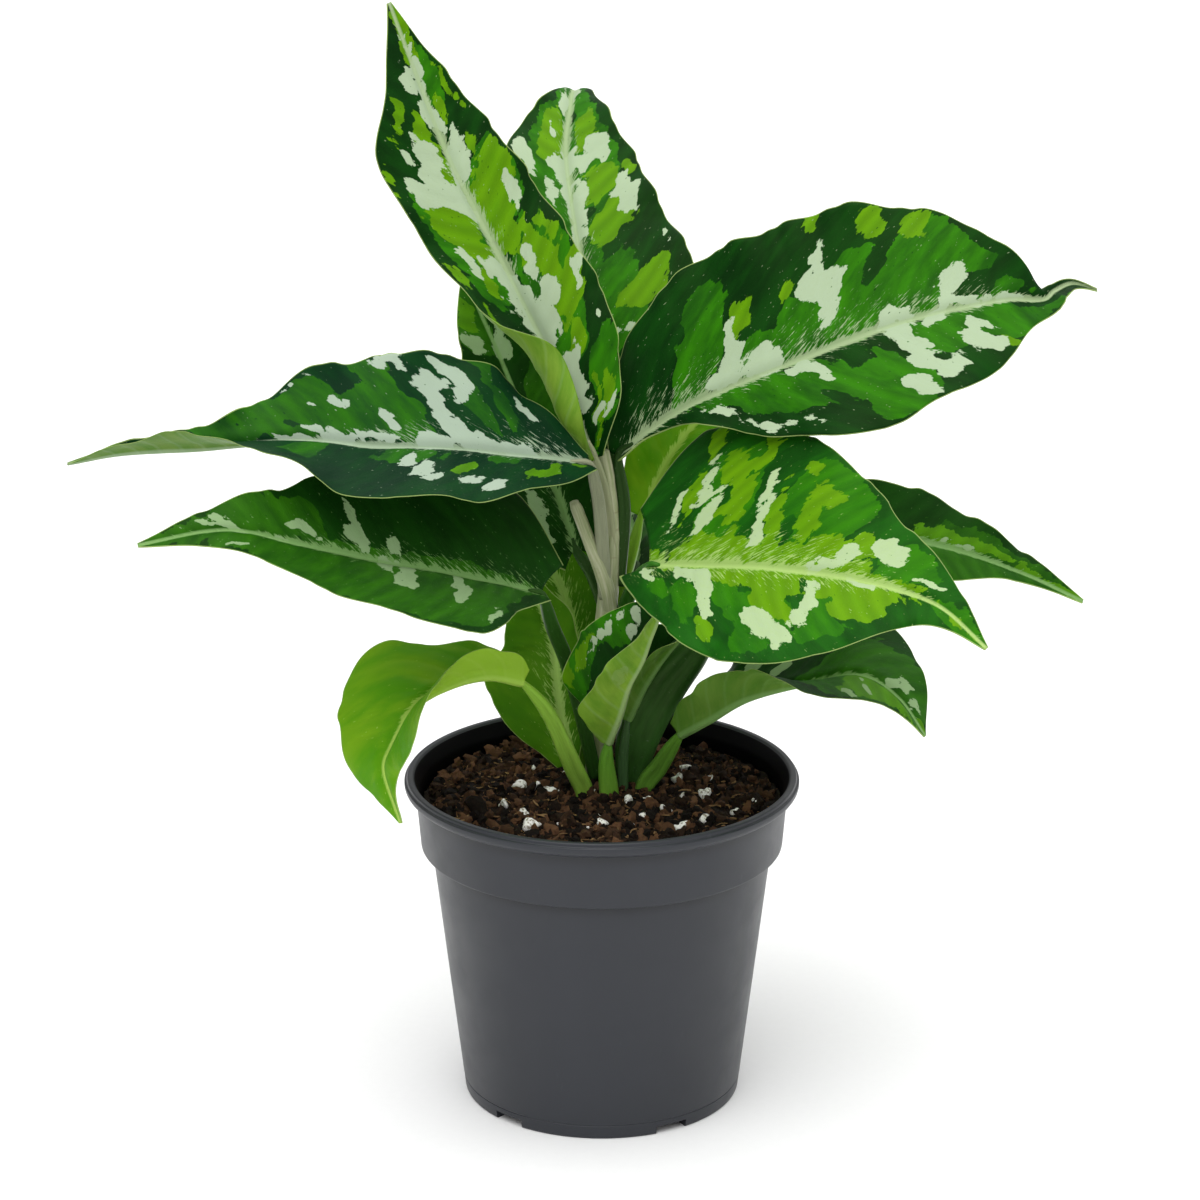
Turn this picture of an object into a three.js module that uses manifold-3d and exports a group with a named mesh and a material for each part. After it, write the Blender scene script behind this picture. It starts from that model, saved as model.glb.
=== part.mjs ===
// Potted Chinese evergreen: variegated leaves on sheathed stalks, soil and a ribbed-foot nursery pot.
// Millimetres, +Z up. The origin is the centre of the pot's floor, where it stands.

import * as THREE from 'three';
import { mergeVertices } from 'three/addons/utils/BufferGeometryUtils.js';
import Module from 'manifold-3d';

const wasm = await Module();
wasm.setup();

// ---------- driving dimensions ----------

const RIM_RADIUS = 61;
const POT_HEIGHT = 104;
const FOOT_RADIUS = 43;
const WALL = 1.3;
const BAND_FOOT_Z = 81.4;
const BODY_TOP_RADIUS = 52.7;
const BAND_RADIUS = 56;
const NOTCH_COUNT = 5;
const FIRST_NOTCH_DEG = -42;
const NOTCH_WIDTH = 10.5;
const NOTCH_HEIGHT = 2.7;

const SOIL_LEVEL = 95.5;
const SOIL_MOUND = 2.5;
const GAP = 0.35;

const BLADE_THICKNESS = 0.8;
const RIB_DEPTH = 1.5;
const TIP_HALF_WIDTH = 0.8;
const STATIONS = [0, 0.12, 0.3, 0.5, 0.7, 0.88, 1];
const LOBE_REACH = 0.16;
const LOBE_POWER = 1.6;
const RUFFLE_POWER = 2.5;

const ROWS = 15;
const COLUMNS = [-1, -0.62, -0.16, 0, 0.16, 0.62, 1];
const ROLLED_COLUMNS = [-1, -0.85, -0.7, -0.55, -0.4, -0.25, 0, 0.2, 0.62, 1];
const STALK_SIDES = 8;
const STALK_STEPS = 9;

// ---------- leaves ----------
// stalk: points from its foot to the blade, with its radius spread evenly along them.
// midrib: points from the blade's base to its tip. face: the way the upper side looks, base to tip.
// half: half-widths at STATIONS, left and right seen from the base with the upper side up.
// fold: how far each half is lifted towards the face, in degrees, spread evenly from base to tip.
// roll: how much further it turns on its way out to the margin. lobe: how far each half reaches
// back past the base. ruffle: height, waves along the blade, and where the first one starts.

const LEAVES = {
  leaf_crown: {
    stalk: [[3, 5, 166], [1.5, 3, 188]],
    girth: [2.2, 2.1, 1.8],
    midrib: [[-2, -0.5, 205], [-13, 2, 231], [-29, 8, 262], [-46, 14, 295], [-55, 18, 318], [-63, 20, 339]],
    face: [[0.1, -1, 0.2], [0.45, -0.9, 0.2], [0.5, -0.85, 0.2]],
    half: [[3, 19, 24.9, 21.4, 23.6, 9.6], [3, 16, 23, 21, 16, 6.3]],
    fold: [[5, 5, 10, 10, 15], [10, 15, 12, 10, 10]],
    roll: [[150, 175, 50, 0, 0, 0], [40, 0, 0, 0, 0]],
    ruffle: [[1.2, 5, 0.2], [1, 5, 0.1]],
    columns: ROLLED_COLUMNS,
    color: 0x4f9426,
  },
  leaf_back_upper: {
    stalk: [[1.5, 8, 165], [2, 10.8, 185]],
    girth: [2.2, 2.1, 1.8],
    midrib: [[3, 11, 203], [1, 17, 218], [-5, 38, 248], [-11, 70, 280], [-10, 87, 294], [-8.5, 99, 298], [-6, 112, 289]],
    face: [[0, -1, 0.5], [0, -0.8, 0.7], [0, 0.2, 1]],
    half: [[3, 10, 18, 22.5, 18, 5], [3, 18.5, 36, 27.8, 19.5, 6]],
    ruffle: [[1.5, 5, 0.1], [1, 5, 0.4]],
    color: 0x3d7f22,
  },
  leaf_right_upper: {
    stalk: [[5, 6, 163], [6.8, 5.5, 187]],
    girth: [2.2, 2.1, 1.9],
    midrib: [[5, 5, 204], [14, 1, 213], [29, -8, 225], [58, -18, 240], [87, -21, 252], [116, -18, 258],
      [129, -15, 257.6], [133, -12, 259.6], [139, -5, 260], [147, 3, 256]],
    face: [[0, -0.75, 0.66], [0, -0.75, 0.66], [0, -0.8, 0.6]],
    half: [[3, 26.8, 41, 40.6, 30, 2.2], [1.4, 3, 19, 32.6, 25.4, 4.2]],
    fold: [[18, 15, 12, 10, 9, 12, 60], [18, 15, 12, 10, 9, 12, 45]],
    lobe: [2, 1],
    ruffle: [[1.2, 5, 0.4], [1.4, 5, 0.1]],
    color: 0x2c6a2a,
  },
  leaf_left_upper: {
    stalk: [[1, 3, 160], [-0.5, -3, 187], [-2, -7, 199]],
    girth: [2.1, 2.1, 2, 1.8],
    midrib: [[-4, -10, 206], [-18, -17, 210], [-42, -26, 215], [-65, -33, 218], [-88, -37, 221],
      [-117, -40, 219.2], [-138, -41.3, 218.4], [-155, -42, 215]],
    face: [[0, -0.59, 0.81], [0, -0.59, 0.81], [0, -0.5, 0.85]],
    half: [[3, 17, 29, 28, 15, 8], [3, 19, 30.4, 25, 8.8, 3.7]],
    fold: [[21, 21, 21, 21, 50, 75, 60], [21, 21, 20, 20, 30, 20]],
    lobe: [2, 0],
    ruffle: [[1, 5, 0.4], [2, 6, 0]],
    color: 0x2b5f34,
  },
  leaf_left_lower: {
    stalk: [[-2, 6, 100], [-6, 1, 121], [-10.5, -2, 140], [-15, -13, 156]],
    girth: [2.1, 2.1, 2.2, 2.3, 2.1],
    midrib: [[-18, -22, 169], [-42, -38, 180], [-64, -50, 188], [-87, -59, 196], [-108, -66, 202.6], [-132, -71, 199.5]],
    face: [[0, -0.59, 0.81]],
    half: [[3, 13.5, 34, 25.5, 14.2, 5.5], [11, 33, 36.5, 29, 15.5, 5.3]],
    fold: [[21, 21, 18, 10], [20, 20, 15, 10]],
    lobe: [2, 9],
    ruffle: [[0.5, 4, 0.4], [0.6, 4, 0.4]],
    color: 0x2a6b1c,
  },
  leaf_right_front: {
    stalk: [[1, 9, 128], [5, 6, 148], [9, 0, 163]],
    girth: [2.2, 2.2, 2.2, 2.1],
    midrib: [[14, -22, 178], [40, -48, 186], [57, -62, 189], [73, -74, 190], [93, -84, 187], [108, -93, 176]],
    face: [[0, -0.74, 0.67], [0, -0.74, 0.67], [0.2, -0.6, 0.7]],
    half: [[18, 43, 45.4, 36, 20.6, 7], [5, 17, 31.5, 37, 25, 6.4]],
    fold: [[14, 12, 8], [14, 10, 8]],
    lobe: [10, 9],
    ruffle: [[0.6, 4, 0.4], [1.4, 4, 0.3]],
    color: 0x4c9a1f,
  },
  leaf_right_behind: {
    stalk: [[8, 10, 80], [9, 10, 98], [11.5, 11, 112], [18.5, 12, 127], [30, 11, 142]],
    girth: [3, 4.2, 6.6, 7.2, 6, 2.6],
    midrib: [[41, 10, 157], [55, 17, 171], [80, 25, 174], [108, 31, 167], [131, 34, 158], [151, 35, 148]],
    face: [[0, -0.7, 0.75]],
    half: [[3, 10, 17, 16.8, 10.9, 5], [6, 20, 23, 18.5, 9.2, 2.3]],
    ruffle: [[0.8, 4, 0.4], [0.8, 4, 0.2]],
    color: 0x35701f,
  },
  leaf_low_right: {
    stalk: [[13, 3, 80], [13, 3, 97], [18, 1, 106]],
    girth: [2.5, 2.7, 2.9, 2.4],
    midrib: [[24, -5, 118], [33, -10, 125], [45, -15, 134], [63, -21, 140.8], [77, -26, 145], [89, -30, 139],
      [96.7, -32, 127.5]],
    face: [[0, -0.1, 1], [0, -0.3, 1], [0.8, -0.4, 0.5]],
    half: [[8, 19, 23, 23, 25.5, 14], [5, 11, 13, 21.5, 18.7, 6.5]],
    fold: [[20, 10, 5, 5], [80, 76, 38, 8, 5]],
    ruffle: [[0.6, 3, 0.4], [0.8, 4, 0.2]],
    color: 0x3c7a28,
  },
  leaf_low_left: {
    stalk: [[-5, -3, 80], [-5, -3, 97], [-9, -7, 109], [-16, -14, 128]],
    girth: [2.5, 2.8, 2.9, 2.6, 2.1],
    midrib: [[-24, -19, 140], [-34, -25, 144], [-45, -30, 143], [-56, -35, 138], [-63, -39, 127],
      [-65, -41, 119], [-60, -43, 104]],
    face: [[0, -0.2, 1], [-0.5, -0.6, 0.8], [-1, -0.8, 0.3]],
    half: [[5, 11, 13.5, 20.5, 11.8, 3.2], [8, 12.5, 17.5, 28, 20.5, 6.5]],
    fold: [[78, 72, 40, 10, 5], [30, 10, 5, 5]],
    ruffle: [[0.6, 3, 0.4], [0.5, 3, 0.2]],
    color: 0x8fc43a,
  },
  leaf_shoot_left: {
    stalk: [[-8, 5, 80], [-8, 5, 96]],
    girth: [2, 2.1, 2],
    midrib: [[-9, 7, 104], [-12, 10, 117], [-14, 12, 130], [-15, 14, 142], [-20, 17, 154], [-25, 20, 165]],
    face: [[-0.1, -1, 0.3], [-0.1, -1, 0.4], [-0.1, -1, 0.8]],
    half: [[5, 10.7, 19.7, 22, 14, 7], [2, 5, 8, 8, 8, 4]],
    fold: [[10, 8, 5, 5], [10, 10, 5]],
    ruffle: [[0.8, 3, 0.4], [0.4, 3, 0.2]],
    color: 0x76ab2b,
  },
  leaf_shoot_back: {
    stalk: [[-7, 15, 80], [-7, 15, 97], [-5, 18, 114]],
    girth: [1.9, 2, 1.9, 1.8],
    midrib: [[-7, 23, 134], [-11, 27, 150], [-18, 33, 162], [-38, 42, 176], [-64, 50, 184], [-92, 56, 188]],
    face: [[0.1, -1, 0.6], [0, -0.8, 0.8]],
    half: [[3, 11, 19, 22, 17, 8], [3, 11, 17, 17, 12, 6]],
    ruffle: [[0.6, 3, 0.4], [0.6, 3, 0.2]],
    color: 0x86b830,
  },
  leaf_shoot_front: {
    stalk: [[2, -4, 80], [2, -4, 97], [1.2, -6, 109]],
    girth: [3.4, 3.5, 3.3, 2.5],
    midrib: [[2, -9, 117], [5, -12, 126], [8, -14, 137], [12, -16, 146], [15, -17, 155], [19, -17, 165]],
    face: [[-1, -0.1, 0.2], [-1, -0.3, 0.5]],
    half: [[2.5, 12, 20, 21, 18, 11], [2.5, 9, 15, 15, 12, 6]],
    fold: [[60, 60, 45], [75, 60, 40]],
    ruffle: [[0.4, 3, 0.4], [0.4, 3, 0.2]],
    color: 0x5d9c2e,
  },
  leaf_shoot_right: {
    stalk: [[7, 2.5, 80], [6.5, 2, 96], [6.5, 1.5, 109]],
    girth: [1.7, 1.8, 1.8, 1.6],
    midrib: [[8, 1, 121], [13, 0, 132], [20, -0.5, 143], [28, 0.5, 152]],
    face: [[-0.6, 0, 0.6], [-0.5, -0.4, 0.8]],
    half: [[3, 7, 9, 11, 11, 5], [3, 7, 10, 10, 9, 5]],
    fold: [[50, 35, 15], [50, 50, 30]],
    ruffle: [[0.3, 3, 0.4], [0.3, 3, 0.2]],
    color: 0x557f45,
  },
  leaf_back_left: {
    stalk: [[1, 9, 154], [-3, 12, 164]],
    girth: [2, 2, 1.8],
    midrib: [[-8, 16, 171], [-13, 20, 186], [-22, 28, 206], [-31, 36, 226], [-39, 43, 243], [-42, 47, 253]],
    face: [[0.3, -1, 0.5], [0, -0.8, 0.7]],
    half: [[6, 20, 21, 18, 13, 6], [4, 12, 16, 17, 17, 12]],
    lobe: [5, 3],
    ruffle: [[1, 4, 0.3], [0.8, 4, 0.1]],
    color: 0x2d5a33,
  },
  leaf_back_right: {
    stalk: [[4, 12, 153], [9, 16, 169]],
    girth: [2, 2, 1.8],
    midrib: [[12, 22, 180], [20, 32, 194], [29, 42, 204], [46, 56, 216], [62, 66, 226]],
    face: [[-0.3, -1, 0.5], [0, -0.8, 0.8]],
    half: [[5, 10, 14, 16, 13, 7], [4, 11, 16, 17, 13, 7]],
    ruffle: [[1, 4, 0.3], [0.8, 4, 0.1]],
    color: 0x9cc233,
  },
  leaf_back_low: {
    stalk: [[1, 12.5, 141], [6.5, 19.5, 151]],
    girth: [2, 2, 1.9],
    midrib: [[11, 31, 160], [10, 48, 167], [5, 70, 168], [-2, 91, 162], [-8, 111, 150]],
    face: [[0, 0.3, 1], [0, 0.2, 1]],
    half: [[4, 14, 22, 24, 18, 9], [4, 14, 22, 24, 18, 9]],
    fold: [[18, 12, 5], [18, 12, 5]],
    ruffle: [[1, 4, 0.3], [0.8, 4, 0.1]],
    color: 0x2f6d26,
  },
};

// The stem is a pale tube of leaf sheaths, with the stub of one leaf stalk that was cut off.
const STEM = {
  route: [[0, 11, 80], [-1, 11, 100], [-1, 9, 120], [1, 6, 145], [2.5, 5, 168], [3, 5, 186], [1.8, 4.5, 197],
    [0.3, 4.2, 206]],
  girth: [4.2, 4.3, 4.2, 3.8, 3.3, 2.9, 2.3, 1.9],
};
const STUB = {
  route: [[2.2, 5.5, 155], [0.5, 1.8, 166], [-4, -1, 179], [-8.5, -3, 192]],
  girth: [3, 2.6, 2.2, 2],
};

// ---------- small maths ----------

function seededRandom(seed) {
  let state = seed;
  return () => {
    state = (state * 1664525 + 1013904223) % 4294967296;
    return state / 4294967296;
  };
}

// Smooth curve through the points (x, y) that never overshoots them.
function monotone(xs, ys, x) {
  const last = xs.length - 1;
  const slopes = xs.slice(1).map((right, i) => (ys[i + 1] - ys[i]) / (right - xs[i]));
  const tangent = (i) => {
    if (i === 0) return slopes[0];
    if (i === last) return slopes[last - 1];
    const product = slopes[i - 1] * slopes[i];
    return product <= 0 ? 0 : 2 * product / (slopes[i - 1] + slopes[i]);
  };
  const clamped = Math.min(Math.max(x, xs[0]), xs[last]);
  let i = 0;
  while (i < last - 1 && clamped > xs[i + 1]) i++;
  const step = xs[i + 1] - xs[i];
  const t = (clamped - xs[i]) / step;
  return (2 * t ** 3 - 3 * t ** 2 + 1) * ys[i] + (t ** 3 - 2 * t ** 2 + t) * step * tangent(i)
    + (3 * t ** 2 - 2 * t ** 3) * ys[i + 1] + (t ** 3 - t ** 2) * step * tangent(i + 1);
}

// Value at u of numbers that are spread evenly from 0 to 1.
function spread(values, u) {
  if (values.length === 1) return values[0];
  return monotone(values.map((_, i) => i / (values.length - 1)), values, u);
}

function spreadVector(vectors, u) {
  const scaled = u * (vectors.length - 1);
  const i = Math.min(Math.floor(scaled), Math.max(vectors.length - 2, 0));
  const from = new THREE.Vector3(...vectors[i]);
  const to = new THREE.Vector3(...vectors[Math.min(i + 1, vectors.length - 1)]);
  return from.lerp(to, scaled - i).normalize();
}

function curveThrough(points) {
  return new THREE.CatmullRomCurve3(points.map((p) => new THREE.Vector3(...p)), false, 'catmullrom', 0.5);
}

// ---------- solids ----------

function geometryFrom(vertices, faces) {
  const geometry = new THREE.BufferGeometry();
  const positions = vertices.flatMap((v) => [v.x, v.y, v.z]);
  geometry.setAttribute('position', new THREE.Float32BufferAttribute(positions, 3));
  geometry.setIndex(faces);
  return geometry;
}

function solidFrom(geometry) {
  const bare = geometry.clone();
  bare.deleteAttribute('normal');
  bare.deleteAttribute('uv');
  const merged = mergeVertices(bare, 1e-4);
  return new wasm.Manifold(new wasm.Mesh({
    numProp: 3,
    vertProperties: new Float32Array(merged.attributes.position.array),
    triVerts: new Uint32Array(merged.index.array),
  }));
}

function geometryOf(solid) {
  const mesh = solid.getMesh();
  const geometry = new THREE.BufferGeometry();
  geometry.setAttribute('position', new THREE.BufferAttribute(new Float32Array(mesh.vertProperties), 3));
  geometry.setIndex(new THREE.BufferAttribute(new Uint32Array(mesh.triVerts), 1));
  return geometry;
}

function largestBody(solid) {
  const bodies = solid.decompose();
  return bodies.reduce((best, body) => (body.volume() > best.volume() ? body : best));
}

// Skin over rings of points, closed by a fan at each end.
function skin(rings) {
  const count = rings[0].length;
  const vertices = rings.flat();
  const faces = [];
  for (let i = 0; i < rings.length - 1; i++) {
    for (let j = 0; j < count; j++) {
      const next = (j + 1) % count;
      const [a, b, c, d] = [i * count + j, i * count + next, (i + 1) * count + next, (i + 1) * count + j];
      faces.push(a, b, c, a, c, d);
    }
  }
  const middleOf = (ring) => ring.reduce((sum, p) => sum.add(p), new THREE.Vector3()).divideScalar(count);
  const start = vertices.push(middleOf(rings[0])) - 1;
  const end = vertices.push(middleOf(rings.at(-1))) - 1;
  const lastRing = (rings.length - 1) * count;
  for (let j = 0; j < count; j++) {
    const next = (j + 1) % count;
    faces.push(start, next, j, end, lastRing + j, lastRing + next);
  }
  return geometryFrom(vertices, faces);
}

// Round stalk along a route, its radius spread along it, optionally grown by a margin.
function tube(route, girth, grown = 0) {
  const curve = curveThrough(route);
  const frames = curve.computeFrenetFrames(STALK_STEPS);
  const rings = [];
  for (let i = 0; i <= STALK_STEPS; i++) {
    const u = i / STALK_STEPS;
    const middle = curve.getPointAt(u);
    if (i === 0) middle.addScaledVector(frames.tangents[i], -grown);
    if (i === STALK_STEPS) middle.addScaledVector(frames.tangents[i], grown);
    const radius = spread(girth, u) + grown;
    rings.push(Array.from({ length: STALK_SIDES }, (_, j) => {
      const angle = 2 * Math.PI * j / STALK_SIDES;
      return middle.clone()
        .addScaledVector(frames.normals[i], Math.cos(angle) * radius)
        .addScaledVector(frames.binormals[i], Math.sin(angle) * radius);
    }));
  }
  return solidFrom(skin(rings));
}

// ---------- leaf blades ----------

// Point of the blade's middle surface: u runs from base to tip, v from the left margin to the right.
function bladePoint(leaf, curve, u, v) {
  const side = v < 0 ? 0 : 1;
  const out = Math.abs(v);
  const along = curve.getTangentAt(u);
  const across = along.clone().cross(spreadVector(leaf.face, u)).normalize();
  const up = across.clone().cross(along).normalize();
  const halfWidth = monotone(STATIONS, [...leaf.half[side], TIP_HALF_WIDTH], u);
  const fold = THREE.MathUtils.degToRad(spread(leaf.fold[side], u));
  const roll = Math.max(THREE.MathUtils.degToRad(spread(leaf.roll[side], u)), 0.001);
  const [height, waves, start] = leaf.ruffle[side];
  const fade = Math.min(6 * u, 1) * Math.min(5 * (1 - u), 1);
  const ruffle = height * fade * out ** RUFFLE_POWER * Math.sin(2 * Math.PI * (waves * u + start));
  const turned = fold + roll * out;
  const sideways = halfWidth * (Math.sin(turned) - Math.sin(fold)) / roll - ruffle * Math.sin(turned);
  const lift = halfWidth * (Math.cos(fold) - Math.cos(turned)) / roll + ruffle * Math.cos(turned);
  const lobe = leaf.lobe[side] * out ** LOBE_POWER * Math.exp(-((u / LOBE_REACH) ** 2));
  return curve.getPointAt(u)
    .addScaledVector(across, side ? sideways : -sideways)
    .addScaledVector(up, lift)
    .addScaledVector(along, -lobe);
}

function bladeNormal(leaf, curve, u, v) {
  const step = 0.004;
  const ahead = bladePoint(leaf, curve, Math.min(u + step, 1), v);
  const behind = bladePoint(leaf, curve, Math.max(u - step, 0), v);
  const right = bladePoint(leaf, curve, u, Math.min(v + step, 1));
  const left = bladePoint(leaf, curve, u, Math.max(v - step, -1));
  return right.sub(left).cross(ahead.sub(behind)).normalize();
}

function bladeGeometry(leaf) {
  const curve = curveThrough(leaf.midrib);
  const { columns } = leaf;
  const top = [];
  const under = [];
  for (let i = 0; i <= ROWS; i++) {
    for (const v of columns) {
      const u = i / ROWS;
      const point = bladePoint(leaf, curve, u, v);
      const normal = bladeNormal(leaf, curve, u, v);
      const rib = v === 0 ? RIB_DEPTH * (1 - u) : 0;
      top.push(point.clone().addScaledVector(normal, BLADE_THICKNESS / 2));
      under.push(point.clone().addScaledVector(normal, -BLADE_THICKNESS / 2 - rib));
    }
  }
  const faces = [];
  const below = top.length;
  const quad = (a, b, c, d) => faces.push(a, b, c, a, c, d);
  const at = (i, j) => i * columns.length + j;
  const last = columns.length - 1;
  for (let i = 0; i < ROWS; i++) {
    for (let j = 0; j < last; j++) {
      const [a, b, c, d] = [at(i, j), at(i, j + 1), at(i + 1, j + 1), at(i + 1, j)];
      faces.push(a, b, c, a, c, d);
      faces.push(below + a, below + c, below + b, below + a, below + d, below + c);
    }
    quad(below + at(i, 0), at(i, 0), at(i + 1, 0), below + at(i + 1, 0));
    quad(at(i, last), below + at(i, last), below + at(i + 1, last), at(i + 1, last));
  }
  for (let j = 0; j < last; j++) {
    quad(below + at(0, j), below + at(0, j + 1), at(0, j + 1), at(0, j));
    quad(below + at(ROWS, j), at(ROWS, j), at(ROWS, j + 1), below + at(ROWS, j + 1));
  }
  return geometryFrom([...top, ...under], faces);
}

const LEAF_DEFAULTS = {
  fold: [[15, 12, 7], [15, 12, 7]],
  roll: [[0], [0]],
  lobe: [0, 0],
  columns: COLUMNS,
};

function stalkRoute(leaf) {
  const curve = curveThrough(leaf.midrib);
  const inBlade = curve.getPointAt(0.04);
  return [...leaf.stalk, leaf.midrib[0], inBlade.toArray()];
}

function stalkSolid(leaf, grown = 0) {
  return tube(stalkRoute(leaf), [...leaf.girth, 0.6], grown);
}

function leafSolid(leaf) {
  return solidFrom(bladeGeometry(leaf)).add(stalkSolid(leaf));
}

// ---------- stem ----------

function stemSolid(grown = 0) {
  return tube(STEM.route, STEM.girth, grown).add(tube(STUB.route, STUB.girth, grown));
}

// ---------- pot ----------

const POT_SEGMENTS = 60;

function potOutline() {
  const outer = [
    [0, 0], [FOOT_RADIUS - 1.2, 0], [FOOT_RADIUS, 1.2], [FOOT_RADIUS + 0.55, 4.6],
    [BODY_TOP_RADIUS, BAND_FOOT_Z - 0.4], [BAND_RADIUS - 1, BAND_FOOT_Z + 0.3],
    [BAND_RADIUS, BAND_FOOT_Z + 1.5], [BAND_RADIUS + 1.5, POT_HEIGHT - 5.4],
    [RIM_RADIUS - 1.6, POT_HEIGHT - 4.4], [RIM_RADIUS, POT_HEIGHT - 3.2],
    [RIM_RADIUS, POT_HEIGHT - 1], [RIM_RADIUS - 1, POT_HEIGHT],
  ];
  const inner = [
    [RIM_RADIUS - 2.8, POT_HEIGHT], [RIM_RADIUS - 3.4, POT_HEIGHT - 1],
    ...INNER_WALL, [0, WALL + 0.3],
  ];
  return [...outer, ...inner].map(([r, z]) => new THREE.Vector2(r, z));
}

const INNER_WALL = [
  [BAND_RADIUS + 1.5 - WALL, POT_HEIGHT - 5],
  [BAND_RADIUS - WALL, BAND_FOOT_Z + 3.2],
  [BODY_TOP_RADIUS - WALL, BAND_FOOT_Z + 1.2],
  [FOOT_RADIUS - WALL, WALL + 0.3],
];

function potSolid() {
  let pot = solidFrom(new THREE.LatheGeometry(potOutline(), POT_SEGMENTS).rotateX(Math.PI / 2));
  for (let i = 0; i < NOTCH_COUNT; i++) {
    const angle = THREE.MathUtils.degToRad(FIRST_NOTCH_DEG + i * 360 / NOTCH_COUNT);
    const notch = new THREE.BoxGeometry(NOTCH_WIDTH, 8, 2 * NOTCH_HEIGHT)
      .translate(0, -(FOOT_RADIUS - 1), 0)
      .rotateZ(angle);
    pot = pot.subtract(solidFrom(notch));
  }
  return pot;
}

// ---------- soil ----------

const SOIL_SEGMENTS = 30;
const SOIL_RINGS = 9;
const SOIL_EDGE = 55.3;
const PERLITE_COUNT = 34;
const PERLITE_SIZE = 1.5;

function soilHeight(x, y) {
  const r = Math.hypot(x, y);
  const mound = SOIL_MOUND * Math.cos(Math.min(r / SOIL_EDGE, 1) * Math.PI / 2);
  const clods = 0.6 * Math.sin(0.55 * x + 1.3) * Math.cos(0.48 * y - 0.4);
  const crumbs = 0.35 * Math.sin(1.35 * x - 0.8 * y) * Math.cos(1.1 * y + 0.6 * x);
  return SOIL_LEVEL + mound + clods + crumbs;
}

function soilSolid() {
  const ring = (r, height) => Array.from({ length: SOIL_SEGMENTS }, (_, j) => {
    const angle = 2 * Math.PI * j / SOIL_SEGMENTS;
    const [x, y] = [r * Math.cos(angle), r * Math.sin(angle)];
    return new THREE.Vector3(x, y, height ?? soilHeight(x, y));
  });
  const sides = [...INNER_WALL].reverse().slice(0, 3).map(([r, z]) => ring(r - 2 * GAP, z + GAP));
  const top = Array.from({ length: SOIL_RINGS }, (_, i) => ring(SOIL_EDGE * (1 - i / SOIL_RINGS)));
  let soil = solidFrom(skin([...sides, ...top]));
  const random = seededRandom(7);
  for (let i = 0; i < PERLITE_COUNT; i++) {
    const r = 12 + 40 * Math.sqrt(random());
    const angle = 2 * Math.PI * random();
    const [x, y] = [r * Math.cos(angle), r * Math.sin(angle)];
    const grain = new THREE.IcosahedronGeometry(PERLITE_SIZE * (0.8 + 0.6 * random()), 0)
      .scale(1, 0.85, 0.8)
      .rotateZ(6 * random())
      .translate(x, y, soilHeight(x, y));
    soil = soil.add(solidFrom(grain));
  }
  return soil;
}

// ---------- assembly ----------

const group = new THREE.Group();
const bodies = {};

function place(name, solid, color, roughness) {
  const material = new THREE.MeshStandardMaterial({ color, roughness, metalness: 0 });
  const mesh = new THREE.Mesh(geometryOf(solid), material);
  mesh.name = name;
  bodies[name] = solid;
  group.add(mesh);
}

const leaves = Object.fromEntries(
  Object.entries(LEAVES).map(([name, leaf]) => [name, { ...LEAF_DEFAULTS, ...leaf }]),
);

place('pot', potSolid(), 0x4b4e52, 0.6);

let soil = soilSolid();
soil = soil.subtract(tube(STEM.route, STEM.girth, GAP));
for (const leaf of Object.values(leaves)) {
  if (leaf.stalk[0][2] < SOIL_LEVEL) soil = soil.subtract(stalkSolid(leaf, GAP));
}
place('soil', largestBody(soil), 0x3a2617, 1);

place('stem', stemSolid(), 0xc9c8ae, 0.5);

const grownStem = stemSolid(GAP);
for (const [name, leaf] of Object.entries(leaves)) {
  place(name, largestBody(leafSolid(leaf).subtract(grownStem)), leaf.color, 0.45);
}

export default group;
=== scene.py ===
"""Looks of a potted Chinese evergreen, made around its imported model.

The leaves, stem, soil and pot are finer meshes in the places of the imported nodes. The tables are
in millimetres, and the scene is in metres, with +Z up and the pot standing on the origin.
"""

import math
from types import SimpleNamespace

import bmesh
import bpy
import numpy as np
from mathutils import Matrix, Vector


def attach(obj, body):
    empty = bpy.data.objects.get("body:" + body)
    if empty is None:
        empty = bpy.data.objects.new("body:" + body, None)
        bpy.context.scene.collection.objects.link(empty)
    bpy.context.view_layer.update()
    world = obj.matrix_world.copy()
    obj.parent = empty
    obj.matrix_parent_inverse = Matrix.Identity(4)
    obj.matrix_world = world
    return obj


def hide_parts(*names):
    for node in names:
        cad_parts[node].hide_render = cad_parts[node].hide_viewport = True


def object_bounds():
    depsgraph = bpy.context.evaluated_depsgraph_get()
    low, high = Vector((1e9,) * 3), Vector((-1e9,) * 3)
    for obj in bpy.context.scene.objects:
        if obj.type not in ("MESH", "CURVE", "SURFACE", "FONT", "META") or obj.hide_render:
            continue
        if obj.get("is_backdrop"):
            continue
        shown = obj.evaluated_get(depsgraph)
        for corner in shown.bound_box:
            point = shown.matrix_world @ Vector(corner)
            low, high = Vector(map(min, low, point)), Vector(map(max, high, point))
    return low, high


MM = 0.001

# ---------- sizes, in millimetres ----------

RIM_RADIUS = 61
POT_HEIGHT = 104
FOOT_RADIUS = 43
WALL = 1.3
BAND_FOOT_Z = 81.4
BODY_TOP_RADIUS = 52.7
BAND_RADIUS = 56
POT_SEGMENTS = 192
CORNER_RADIUS = 0.8
SHARP_DEG = 35
NOTCH_COUNT = 5
FIRST_NOTCH_DEG = -42
NOTCH_WIDTH = 10.5
NOTCH_HEIGHT = 2.7
NOTCH_DEPTH = 8

SOIL_LEVEL = 95.5
SOIL_MOUND = 2.5
SOIL_EDGE = 55.3
SOIL_RINGS = 110
SOIL_SEGMENTS = 330

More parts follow.
